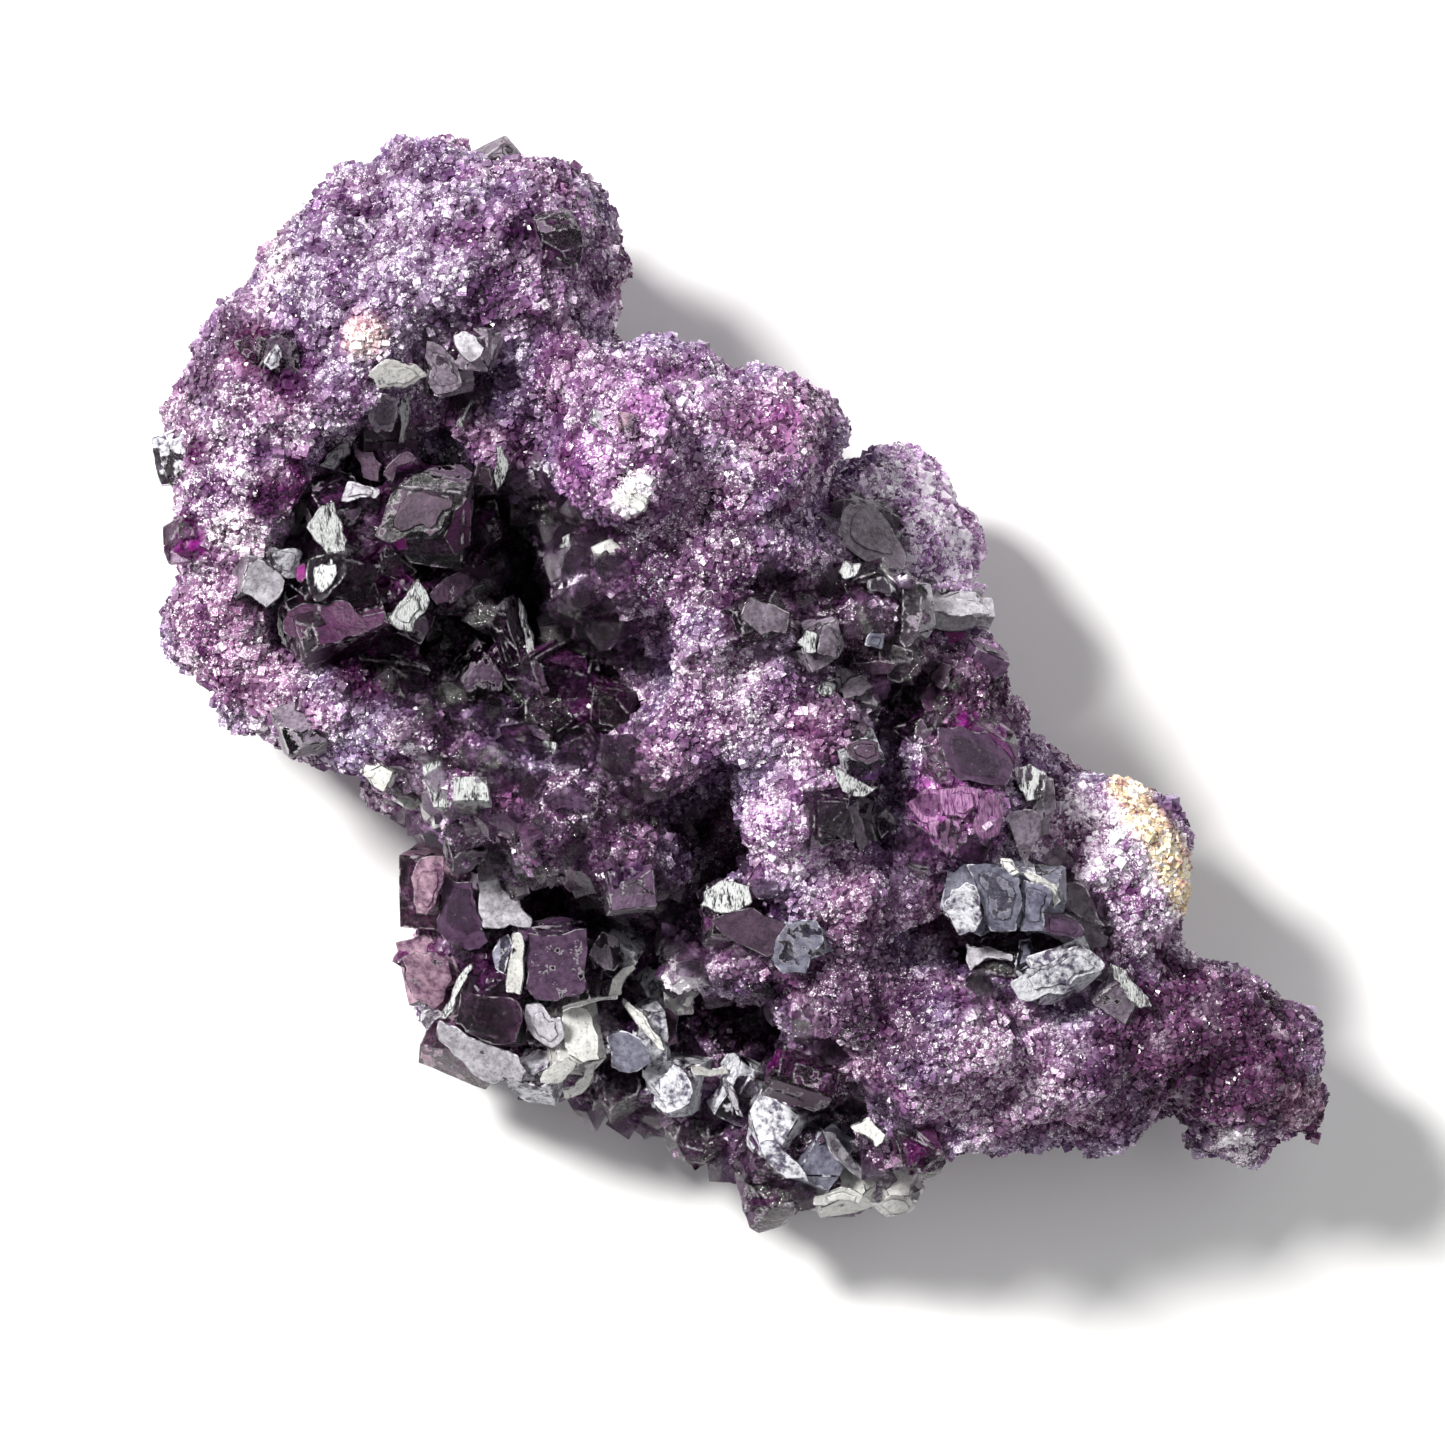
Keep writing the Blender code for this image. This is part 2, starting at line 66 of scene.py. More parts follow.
# %% [markdown]
# ## Camera
# The cluster lies on its back, so the photograph becomes a view from straight above. A long lens far away
# keeps the near lumps from growing, as a close-up lens held back does. One millimetre on the stone is 21
# pixels of the 1445 pixel picture, and the stone's origin falls on pixel (748, 683).

# %% Camera
PICTURE = 1445
PIXELS_PER_MM = 21.0
ORIGIN_PIXEL = (748, 683)
SHARP_HEIGHT = 16 * MM
CAMERA_DISTANCE = 0.6

camera_data = bpy.data.cameras.new("camera")
camera = bpy.data.objects.new("camera", camera_data)
bpy.context.scene.collection.objects.link(camera)
view_width = PICTURE / PIXELS_PER_MM * MM
camera_data.sensor_width = 36
camera_data.lens = 36 * CAMERA_DISTANCE / view_width
camera_data.clip_start, camera_data.clip_end = 0.01, 10
camera.location = (
    (PICTURE / 2 - ORIGIN_PIXEL[0]) / PIXELS_PER_MM * MM,
    (ORIGIN_PIXEL[1] - PICTURE / 2) / PIXELS_PER_MM * MM,
    SHARP_HEIGHT + CAMERA_DISTANCE,
)
bpy.context.scene.camera = camera
print("lens", round(camera_data.lens), "mm")

# %% [markdown]
# ## Floor and light
# Crystal faces only sparkle when there is something bright and something dark to mirror. So one soft key
# light stands high at the upper left, weaker lights fill from the other sides, and the room stays dim.

# %% Floor and light
FLOOR_REACH = 1.5         # metres from the stone to each side
FLOOR_GAP = 0.02 * MM     # keeps the floor just clear of the cut that rests on it
LAMP_AIM = Vector((0, 0, 0.012))

floor_finish = bpy.data.materials.new("pale_floor")
floor_finish.use_nodes = True
floor_shader = floor_finish.node_tree.nodes["Principled BSDF"]
floor_shader.inputs["Base Color"].default_value = (0.93, 0.93, 0.93, 1)
floor_shader.inputs["Roughness"].default_value = 0.7

floor_mesh = bpy.data.meshes.new("floor")
floor_form = bmesh.new()
bmesh.ops.create_grid(floor_form, x_segments=1, y_segments=1, size=FLOOR_REACH)
floor_form.to_mesh(floor_mesh)
floor_form.free()
floor_mesh.materials.append(floor_finish)
floor = bpy.data.objects.new("floor", floor_mesh)
floor.location.z = -FLOOR_GAP
bpy.context.scene.collection.objects.link(floor)


def area_light(name, towards, distance, size, power, colour=(1, 1, 1)):
    """A square lamp that stands in one direction from the stone and faces it."""
    data = bpy.data.lights.new(name, "AREA")
    data.size, data.energy, data.color = size, power, colour
    lamp = bpy.data.objects.new(name, data)
    aim = Vector(towards).normalized()
    lamp.location = aim * distance + LAMP_AIM
    lamp.rotation_euler = aim.to_track_quat("Z", "Y").to_euler()
    bpy.context.scene.collection.objects.link(lamp)


area_light("key", (-0.55, 0.45, 0.85), 0.5, 0.11, 4.3, (1.0, 0.985, 0.96))
area_light("top_fill", (0.5, 0.2, 0.9), 0.6, 0.5, 1.0)
area_light("low_fill", (0.1, -0.9, 0.5), 0.6, 0.35, 0.5)

world = bpy.data.worlds.new("room")
bpy.context.scene.world = world
world.use_nodes = True
room = world.node_tree.nodes["Background"]
room.inputs["Color"].default_value = (1, 1, 1, 1)
room.inputs["Strength"].default_value = 0.17
bpy.context.scene.view_settings.view_transform = "Standard"
print("lamps:", [lamp.name for lamp in bpy.data.lights])

# %% [markdown]
# ## A short way to write nodes
# Every finish below is a small graph, and so is the tree that sows crystals. One helper adds a node and
# fills its inputs by name, and the others are short names for the nodes that come up most. Every finish
# starts from the place on the stone in millimetres.

# %% Node helpers
def add(tree, kind, outputs=0, settings=None, **inputs):
    """Adds a node. An input takes a plain value or another node's output, and spaces become underscores."""
    node = tree.nodes.new(kind)
    for key, value in (settings or {}).items():
        setattr(node, key, value)
    for key, value in inputs.items():
        socket = node.inputs[int(key[1:])] if key[0] == "_" else node.inputs[key.replace("_", " ")]
        if isinstance(value, bpy.types.NodeSocket):
            tree.links.new(value, socket)
        else:
            socket.default_value = value
    return node.outputs[outputs]


def vector_math(tree, operation, **inputs):
    return add(tree, "ShaderNodeVectorMath", 0, {"operation": operation}, **inputs)


def place_in_mm(tree):
    return vector_math(tree, "SCALE", _0=add(tree, "ShaderNodeTexCoord", "Object"), Scale=1 / MM)


def noise(tree, spot, scale, detail=3, roughness=0.6):
    return add(tree, "ShaderNodeTexNoise", "Fac",
               Vector=spot, Scale=scale, Detail=detail, Roughness=roughness)


def ramp(tree, value, *stops):
    """A colour ramp from (position, colour) stops, where a colour may be one grey number."""
    node = tree.nodes.new("ShaderNodeValToRGB")
    tree.links.new(value, node.inputs["Fac"])
    marks = node.color_ramp.elements
    while len(marks) < len(stops):
        marks.new(0.5)
    for mark, (position, colour) in zip(marks, stops):
        mark.position = position
        mark.color = (*colour, 1) if isinstance(colour, tuple) else (colour, colour, colour, 1)
    return node.outputs["Color"]


def mixed(tree, share, first, second, blend="MIX"):
    node = tree.nodes.new("ShaderNodeMix")
    node.data_type, node.blend_type = "RGBA", blend
    for socket, value in zip((node.inputs[0], node.inputs[6], node.inputs[7]), (share, first, second)):
        if isinstance(value, bpy.types.NodeSocket):
            tree.links.new(value, socket)
        else:
            socket.default_value = value if isinstance(value, (int, float)) else (*value, 1)
    return node.outputs[2]


def math_node(tree, operation, first, second=0.5):
    return add(tree, "ShaderNodeMath", 0, {"operation": operation}, _0=first, _1=second)


def plus(tree, first, second):
    return math_node(tree, "ADD", first, second)


def times(tree, first, second):
    return math_node(tree, "MULTIPLY", first, second)


def stored(tree, name, output="Fac"):
    return add(tree, "ShaderNodeAttribute", output, {"attribute_name": name})


def new_finish(name, **values):
    """A material with its Principled shader's plain values set, and the graph to build on."""
    mat = bpy.data.materials.new(name)
    mat.use_nodes = True
    shader = mat.node_tree.nodes["Principled BSDF"]
    for key, value in values.items():
        shader.inputs[key.replace("_", " ")].default_value = value
    return mat, mat.node_tree, shader


def plug(tree, shader, **outputs):
    """Links other nodes' outputs to the shader's inputs, by name."""
    for key, output in outputs.items():
        tree.links.new(output, shader.inputs[key.replace("_", " ")])


# %% [markdown]
# ## The sugary coat
# Seen close, the coat is thousands of flat faces turned every way. A Voronoi pattern cuts the surface into
# cells, and each cell's random colour tilts its normal, so every cell mirrors a different bit of the room.
# The same cell, or the number that a small crystal carries, picks how pale it is, and where it turns white,
# partly as a pale grain and partly as a painted glint. What colour a place has before that is the body colour
# painted on the mesh further down: the stone's own colours, with painted shade in the creases, the hollow and
# the pits, and painted light on one lump.

# %% Sugary coat
FLUORITE_IOR = 1.434
# The dark cells keep their purple: green falls off first, as it does in real fluorite
CELL_SHADES = ((0.30, (0.14, 0.055, 0.15)), (0.58, (0.55, 0.48, 0.56)), (0.85, (1.0, 1.0, 1.0)))
CELL_BRIGHTNESS = 1.85
# The colour of the white flecks: pale grains and painted glints
WHITE_GRAIN_AND_GLINT_COLOUR = (0.86, 0.82, 0.88)


def sugary_finish(name, cells_per_mm, tilt, per_crystal, painted_gap_shade=1.0):
    """The coat's finish. per_crystal takes each crystal's own number, where else each cell has one."""
    mat, tree, shader = new_finish(name, IOR=FLUORITE_IOR)
    spot = place_in_mm(tree)
    cells = add(tree, "ShaderNodeTexVoronoi", "Color", Vector=spot, Scale=cells_per_mm)
    chance = stored(tree, "chance") if per_crystal else add(tree, "ShaderNodeSeparateColor", 0, _0=cells)
    fleck = noise(tree, spot, 5.0, 3)
    value = plus(tree, times(tree, chance, 0.45), times(tree, fleck, 0.7))
    shade = ramp(tree, value, *((at, tuple(c * painted_gap_shade for c in colour)) for at, colour in CELL_SHADES))
    shade = mixed(tree, 1.0, shade, (CELL_BRIGHTNESS,) * 3, "MULTIPLY")
    body = mixed(tree, 1.0, stored(tree, "body", "Color"), shade, "MULTIPLY")
    # White flecks: partly pale grains, partly painted glints where grains would mirror the lamps
    white_grain_and_glint = plus(tree, noise(tree, spot, 10.5, 1), times(tree, chance, 0.32))
    white_grain_and_glint = ramp(tree, plus(tree, white_grain_and_glint, stored(tree, "whites_and_glints")), (0.78, 0.0), (0.84, 1.0))
    turned = vector_math(tree, "SUBTRACT", _0=cells, _1=(0.5, 0.5, 0.5))
    turned = vector_math(tree, "SCALE", _0=turned, Scale=tilt)
    turned = vector_math(tree, "ADD", _0=turned, _1=add(tree, "ShaderNodeNewGeometry", "Normal"))
    plug(tree, shader,
         Base_Color=mixed(tree, white_grain_and_glint, body, WHITE_GRAIN_AND_GLINT_COLOUR),
         Roughness=ramp(tree, fleck, (0.3, 0.10), (0.7, 0.42)),
         Normal=vector_math(tree, "NORMALIZE", _0=turned))
    return mat


def banded_finish():
    """The flat cut below: growth bands of purple and lilac fluorite, with fine scratches."""
    mat, tree, shader = new_finish("cut_base", IOR=FLUORITE_IOR)
    spot = place_in_mm(tree)
    fine = noise(tree, spot, 2.4, 5)
    grown = add(tree, "ShaderNodeMapping", 0, Vector=spot, Rotation=(0, 0, 0.55), Scale=(0.16, 0.035, 0.16))
    bands = math_node(tree, "SINE", plus(tree, times(tree, noise(tree, grown, 1.0, 4), 34.0), fine))
    colour = ramp(tree, math_node(tree, "MULTIPLY_ADD", bands, 0.5),
                  (0.0, (0.085, 0.035, 0.10)), (0.35, (0.14, 0.07, 0.16)), (0.6, (0.21, 0.14, 0.24)),
                  (0.85, (0.33, 0.28, 0.37)), (1.0, (0.20, 0.11, 0.22)))
    speck = ramp(tree, noise(tree, spot, 6.0, 2), (0.35, 0.35), (0.5, 1.0))
    scratched = add(tree, "ShaderNodeMapping", 0, Vector=spot, Rotation=(0, 0, 0.6), Scale=(9.0, 0.5, 1.0))
    scratched = noise(tree, scratched, 1.0, 3)
    plug(tree, shader,
         Base_Color=mixed(tree, 1.0, colour, speck, "MULTIPLY"),
         Roughness=ramp(tree, fine, (0.3, 0.28), (0.7, 0.6)),
         Normal=add(tree, "ShaderNodeBump", 0, Height=scratched, Strength=0.3, Distance=0.1 * MM))
    return mat


cut_base = banded_finish()
# The coat shows in the gaps between the small crystals, so its cells are darkened to 0.7 with painted shade
coat = sugary_finish("sugary_coat", 4.6, 1.0, False, 0.7)
small_crystal_finish = sugary_finish("small_crystals", 5.0, 0.5, True)
print("finishes:", cut_base.name, coat.name, small_crystal_finish.name)

# %% [markdown]
# ## Glassy and frosted cubes
# The large cubes are clear fluorite: light goes in, loses everything but purple, and comes out again.
# Absorption inside the crystal does that. Two numbers on the mesh say where the clear surface turns dull:
# frost, one value for each face, and edge, which is 1 along a face's border and 0 inside it. Noise breaks
# both up, so a frosted face keeps clear windows and a border gets an uneven white rim: partly the frosted
# edge's own white, mostly a painted highlight where the edge would catch the lamps.

# %% Cube finishes
CLEAR = (0.95, 0.9, 0.97)       # the colour of the clear surface; what is inside colours it further
DULL_BLOCKS = 0.85              # how much of the light a dull face keeps from going in


def glassy_finish(name, tint, density, roughness, dull_dark, dull_light, rim, relief=0.25, streaks=0.0,
                  grain=4.0, rim_colour=None, stops=(0.42, 0.64)):
    """Clear crystal with this tint and density inside. Where it's frosted it is dull, in two colours."""
    mat, tree, shader = new_finish(name, IOR=FLUORITE_IOR)
    spot = place_in_mm(tree)
    if streaks:
        # Squeezed across one direction, the noise below turns into streaks along the other
        spot = add(tree, "ShaderNodeMapping", 0,
                   Vector=spot, Rotation=(0, 0, 0.35), Scale=(1 + streaks, 1, 1))
    wide = noise(tree, spot, 0.9, 4)
    fine = noise(tree, spot, grain, 5, 0.65)
    spread = times(tree, math_node(tree, "SUBTRACT", wide, 0.5), 1.6)
    frost = ramp(tree, plus(tree, stored(tree, "frost"), spread), (0.5, 0.0), (0.58, 1.0))
    ragged = times(tree, math_node(tree, "SUBTRACT", fine, 0.5), 1.8)
    border = ramp(tree, plus(tree, stored(tree, "edge"), ragged), (0.80, 0.0), (1.0, rim))
    border = times(tree, border, ramp(tree, noise(tree, spot, 1.4, 2), (0.47, 0.0), (0.56, 1.0)))
    dull = math_node(tree, "MAXIMUM", frost, border)
    mottle = plus(tree, times(tree, fine, 0.55), times(tree, wide, 0.5))
    bloom = ramp(tree, mottle, (stops[0], dull_dark), (stops[1], dull_light))
    # Pits and dust: a few darker specks, and whole plates darker or paler than their neighbours
    specks = ramp(tree, noise(tree, spot, 1.6 * grain, 2), (0.34, 0.6), (0.44, 1.0))
    own = ramp(tree, stored(tree, "chance"), (0.0, 0.78), (1.0, 1.0))
    bloom = mixed(tree, 1.0, mixed(tree, 1.0, bloom, specks, "MULTIPLY"), own, "MULTIPLY")
    # The border's white rim: partly the frosted edge's own white, mostly a painted highlight along the edge
    bloom = mixed(tree, border, bloom, rim_colour or dull_light)
    plug(tree, shader,
         Base_Color=mixed(tree, dull, CLEAR, bloom),
         Transmission_Weight=math_node(tree, "SUBTRACT", 1.0, times(tree, dull, DULL_BLOCKS)),
         Roughness=ramp(tree, plus(tree, fine, times(tree, dull, 0.5)),
                        (0.4, roughness), (1.0, roughness + 0.35)),
         Normal=add(tree, "ShaderNodeBump", 0, Height=mottle, Strength=relief, Distance=0.4 * MM))
    depth = add(tree, "ShaderNodeVolumeAbsorption", 0, Color=(*tint, 1), Density=density)
    tree.links.new(depth, tree.nodes["Material Output"].inputs["Volume"])
    return mat


# Of each kind: how much of it is frosted, the colour of the stone inside, how many corners are broken off,
# and its finish: name, tint, density, roughness, the dull surface's two colours, rim, relief, and the rest
KIND_ROWS = {
    "dark": (0.18, (0.05, 0.012, 0.048), 4, "dark_purple_crystal", (0.35, 0.06, 0.40), 900, 0.04,
             (0.045, 0.016, 0.048), (0.20, 0.14, 0.21), 0.40, 0.4, {"rim_colour": (0.32, 0.27, 0.34)}),
    "magenta": (0.25, (0.15, 0.010, 0.13), 4, "magenta_crystal", (0.80, 0.12, 0.78), 450, 0.06,
                (0.075, 0.008, 0.072), (0.26, 0.08, 0.25), 0.35, 0.5, {}),
    "gem": (0.75, (0.22, 0.03, 0.21), 2, "gem_crystal", (0.85, 0.25, 0.85), 350, 0.08, (0.16, 0.020, 0.150),
            (0.78, 0.42, 0.74), 0.3, 0.7, {"streaks": 3.0, "grain": 3.0, "rim_colour": (0.75, 0.50, 0.72)}),
    "rose": (0.55, (0.12, 0.03, 0.10), 2, "rose_crystal", (0.60, 0.25, 0.52), 500, 0.14,
             (0.11, 0.038, 0.095), (0.56, 0.36, 0.46), 0.5, 0.45, {"grain": 2.5}),
    "grey": (0.85, (0.04, 0.02, 0.04), 3, "grey_crystal", (0.50, 0.40, 0.50), 500, 0.10,
             (0.11, 0.082, 0.115), (0.39, 0.32, 0.41), 0.8, 0.4, {"rim_colour": (0.5, 0.48, 0.5)}),
    "frosted": (0.75, (0.06, 0.02, 0.08), 2, "frosted_crystal", (0.45, 0.18, 0.48), 700, 0.20,
                (0.085, 0.065, 0.12), (0.85, 0.86, 0.92), 1.0, 0.6, {"grain": 3.0, "stops": (0.44, 0.56)}),
    "blue": (0.85, (0.05, 0.04, 0.08), 2, "blue_grey_crystal", (0.45, 0.40, 0.60), 600, 0.16,
             (0.095, 0.09, 0.14), (0.33, 0.33, 0.43), 1.0, 0.35,
             {"grain": 2.6, "rim_colour": (0.66, 0.68, 0.76)}),
    # Silver faces: their dull parts are painted near white, a painted reflection of the lamps, beside the
    # real glints their bumps and low roughness catch
    "silver": (0.85, (0.015, 0.006, 0.018), 3, "silver_crystal", (0.35, 0.10, 0.40), 800, 0.03,
               (0.03, 0.022, 0.034), (0.97, 1.0, 1.0), 0.8, 1.0, {"streaks": 2.5, "stops": (0.45, 0.53)}),
    "quartz": (0.95, (0.5, 0.5, 0.5), 3, "white_quartz", (0.92, 0.93, 0.95), 60, 0.12,
               (0.66, 0.66, 0.62), (0.95, 0.95, 0.93), 0.8, 0.25, {}),
    "ash": (0.95, (0.05, 0.02, 0.05), 3, "ash_crystal", (0.50, 0.36, 0.50), 500, 0.20,
            (0.041, 0.018, 0.041), (0.130, 0.074, 0.127), 0.4, 0.4, {}),
    "pale": (0.95, (0.2, 0.2, 0.2), 3, "pale_crystal", (0.60, 0.55, 0.62), 300, 0.20,
             (0.30, 0.275, 0.32), (0.71, 0.69, 0.76), 1.0, 0.35, {}),
    "wine": (0.40, (0.06, 0.004, 0.052), 3, "wine_crystal", (0.55, 0.05, 0.50), 700, 0.08,
             (0.032, 0.003, 0.028), (0.085, 0.016, 0.076), 0.35, 0.4, {}),
    "violet": (0.7, (0.05, 0.02, 0.06), 2, "violet_crystal", (0.45, 0.15, 0.50), 600, 0.12,
               (0.045, 0.017, 0.050), (0.14, 0.075, 0.150), 0.45, 0.40, {"grain": 2.5}),
    "fuchsia": (0.5, (0.2, 0.004, 0.15), 2, "fuchsia_crystal", (0.90, 0.05, 0.70), 300, 0.08,
                (0.15, 0.002, 0.11), (0.34, 0.02, 0.27), 0.2, 0.3, {}),
}
KINDS = {kind: (glassy_finish(*glass, **more), frost_share, core, corners)
         for kind, (frost_share, core, corners, *glass, more) in KIND_ROWS.items()}
print(len(KINDS), "kinds of crystal")

# %% [markdown]
# ## The large crystals
# Each row is one crystal of the CAD model: its middle and its three sides in millimetres, its turns in
# degrees, and its kind. The same numbers stand in the CAD part, so each crystal grows around its solid.

# %% Where the large crystals stand
HOLLOW_CRYSTALS = [
    (-15.4, 8.3, 16.4, (4.6, 4.0, 4.4), (24, -8, -6), "dark"),
    (-19.8, 8.3, 16.4, (2.6, 2.8, 3.0), (30, 28, 20), "dark"),
    (-19.6, 5.3, 16.2, (2.8, 3.0, 3.0), (12, 36, -14), "dark"),
    (-19.7, 2.8, 15.8, (4.2, 3.4, 3.6), (-22, 16, 12), "wine"),
    (-16.1, 3.4, 15.2, (2.0, 3.2, 2.6), (-18, 30, -28), "dark"),
    (-14.0, 4.7, 13.6, (2.8, 2.2, 2.6), (26, 14, -18), "ash"),
    (-17.3, 12.0, 15.0, (2.6, 2.6, 2.6), (34, 12, 8), "ash"),
    (-12.5, 10.4, 12.8, (2.0, 2.4, 2.4), (18, -24, 12), "dark"),
    (-11.2, 2.0, 12.8, (1.0, 4.4, 3.2), (10, -16, 14), "dark"),
    (-16.8, 0.6, 13.6, (3.2, 2.8, 3.0), (-24, 10, 24), "dark"),
    (-12.6, 0.2, 12.4, (3.0, 2.8, 2.8), (14, 26, -32), "dark"),
    (-8.6, 0.9, 14.2, (3.0, 2.4, 2.6), (30, -10, 10), "dark"),
    (-9.8, -2.0, 13.9, (2.4, 2.2, 2.8), (-16, 20, 34), "dark"),
    (-6.2, -0.9, 14.3, (2.6, 2.2, 2.4), (22, -22, -12), "wine"),
    (-13.0, 7.4, 12.6, (2.4, 2.2, 2.2), (20, 24, 30), "dark"),
    (-17.6, 5.9, 15.4, (2.2, 2.4, 2.2), (38, -14, 40), "wine"),
]
MASS_CRYSTALS = [
    # the rim of the hollow, the head and the left flank
    (-14.4, 15.2, 18.0, (2.2, 3.0, 2.2), (22, 10, 14), "grey"),
    (-12.9, 15.9, 20.2, (2.3, 2.0, 2.2), (16, -28, -12), "grey"),
    (-23.4, 5.0, 15.3, (2.2, 2.6, 2.2), (14, 22, -10), "grey"),
    (-22.6, 15.6, 18.0, (1.8, 2.2, 2.0), (18, 30, 16), "dark"),
    (-9.2, 20.9, 20.9, (2.0, 2.6, 2.2), (12, 24, 12), "dark"),
    (-11.8, 25.0, 9.9, (2.0, 1.8, 2.0), (24, 12, 28), "grey"),
    (-27.2, 10.9, 12.0, (1.8, 2.4, 2.0), (10, -30, 8), "frosted"),
    (-26.6, 6.9, 14.6, (2.0, 2.2, 2.2), (-14, -26, 16), "magenta"),
    (-21.4, -2.3, 15.3, (2.0, 2.4, 2.2), (-26, 12, 22), "grey"),
    (-13.6, -7.8, 14.0, (1.9, 1.8, 2.0), (-30, 14, 12), "dark"),
    (-5.6, -9.8, 19.9, (2.2, 2.2, 2.2), (-14, 10, 4), "violet"),
    # the ridge
    (5.9, 7.2, 13.8, (4.6, 3.2, 1.8), (20, 24, -24), "grey"),
    (9.3, 3.2, 14.0, (4.4, 1.8, 2.8), (-34, 14, -4), "pale"),
    (7.5, 3.2, 18.5, (1.8, 3.0, 2.4), (10, 34, 8), "pale"),
    (5.9, 4.6, 19.4, (2.4, 2.2, 2.2), (30, -20, 18), "dark"),
    (3.1, 2.0, 22.4, (2.2, 2.0, 2.2), (24, 18, 34), "grey"),
    (0.4, 3.0, 23.1, (2.6, 2.2, 2.4), (14, -18, 12), "dark"),
    (6.5, 1.2, 19.5, (2.2, 2.0, 2.2), (-18, 32, 26), "dark"),
    (5.0, -0.4, 19.2, (2.6, 1.6, 2.0), (-24, 12, -14), "grey"),
    (8.3, -2.4, 18.1, (2.0, 2.0, 2.2), (18, 16, 38), "dark"),
    (5.2, -3.6, 21.6, (2.2, 2.2, 2.2), (28, 14, 20), "frosted"),
    (11.0, -3.0, 18.5, (3.0, 2.4, 2.2), (14, 20, -18), "magenta"),
    (5.4, -6.8, 16.8, (1.8, 2.8, 2.0), (12, -22, 12), "grey"),
    (3.5, -6.3, 22.6, (2.0, 2.8, 2.2), (10, 26, 6), "dark"),
    (-0.6, -11.0, 17.8, (3.4, 2.6, 2.8), (-22, 14, -10), "dark"),
    (2.6, -11.9, 18.9, (2.2, 2.0, 2.0), (16, 20, 22), "blue"),
    (13.3, -5.8, 17.4, (1.8, 2.6, 2.0), (12, 34, 10), "grey"),
    # the frosted pocket
    (10.8, -10.2, 16.9, (2.8, 3.2, 2.4), (14, -24, -22), "blue"),
    (13.3, -10.0, 17.4, (3.4, 2.6, 2.4), (24, 10, -14), "blue"),
    (15.9, -11.4, 13.9, (3.2, 2.0, 2.2), (18, 22, -28), "grey"),
    (12.0, -13.4, 14.6, (2.6, 1.8, 2.2), (-20, -12, -6), "dark"),
    (14.6, -13.9, 16.3, (3.6, 2.0, 2.4), (-16, 16, 20), "frosted"),
    (17.5, -14.7, 15.1, (2.2, 1.8, 2.2), (12, 28, -30), "grey"),
    # under the lower rim
    (-1.5, -16.6, 4.8, (2.4, 2.0, 2.2), (-18, 16, 8), "wine"),
    (0.4, -16.3, 4.7, (1.8, 1.8, 2.0), (24, -14, 30), "dark"),
    (2.5, -18.9, 14.1, (4.0, 1.9, 2.2), (-26, 10, -18), "wine"),
    (4.0, -20.4, 8.4, (2.6, 2.0, 2.4), (-20, 18, -12), "dark"),
    (8.3, -22.4, 14.2, (2.4, 2.2, 2.2), (-28, 12, 16), "wine"),
    # the ledge
    (-15.0, -9.8, 7.3, (2.8, 3.6, 3.4), (12, -18, -4), "rose"),
    (-12.1, -10.2, 9.4, (2.4, 2.2, 2.6), (20, 14, 6), "grey"),
    (-9.0, -13.1, 10.3, (4.2, 3.7, 3.8), (10, -20, 3), "violet"),
    (-15.1, -13.5, 6.3, (3.4, 3.2, 3.2), (-12, -26, 24), "rose"),
    (-12.3, -15.3, 8.9, (3.2, 3.8, 3.2), (-14, 22, -16), "dark"),
    (-13.6, -17.6, 6.8, (4.0, 2.2, 2.8), (-30, -10, -24), "rose"),
    (-6.3, -12.9, 9.3, (2.2, 2.0, 2.4), (22, 18, -32), "frosted"),
    (-4.6, -14.6, 6.2, (2.2, 2.8, 2.4), (14, 26, 38), "frosted"),
    (-8.6, -17.1, 8.6, (2.4, 3.6, 3.0), (-16, 18, 4), "quartz"),
    (-5.4, -16.9, 8.0, (2.6, 2.8, 2.8), (18, 12, 12), "frosted"),
    (-6.2, -19.6, 6.7, (2.8, 2.2, 2.4), (-24, 14, 20), "dark"),
    (-10.2, -19.0, 7.9, (2.4, 2.0, 2.4), (-26, -12, -14), "frosted"),
    (-3.4, -19.4, 8.0, (2.6, 2.6, 2.6), (12, -20, -8), "frosted"),
    (-2.2, -22.2, 6.5, (2.8, 2.4, 2.6), (-22, 16, 30), "dark"),
    (-0.2, -19.6, 7.6, (2.4, 2.8, 2.4), (16, 24, -26), "frosted"),
    (1.4, -21.4, 10.1, (2.4, 3.0, 2.6), (12, -22, -34), "frosted"),
    (3.4, -22.7, 9.5, (2.0, 3.2, 2.4), (-14, 20, -30), "blue"),
    (1.2, -24.6, 7.0, (3.0, 2.6, 2.6), (-28, -10, 14), "dark"),
    (4.6, -24.4, 8.1, (3.0, 1.8, 2.4), (-20, 12, 8), "quartz"),
    (7.2, -24.5, 7.1, (2.2, 2.0, 2.2), (-18, 22, 26), "quartz"),
]
print(len(HOLLOW_CRYSTALS), "crystals in the hollow,", len(MASS_CRYSTALS), "on the mass")

# %% [markdown]
# ## The faces that catch the eye
# The photograph shows about a hundred flat faces clearly: leaf-shaped silver ones in the hollow, a white chip
# on its rim, blue-grey plates in the pocket, white plates on the ledge. Each row draws one as an outline in
# millimetres. The script finds the stone under it and makes a thin crystal plate that lies along it.

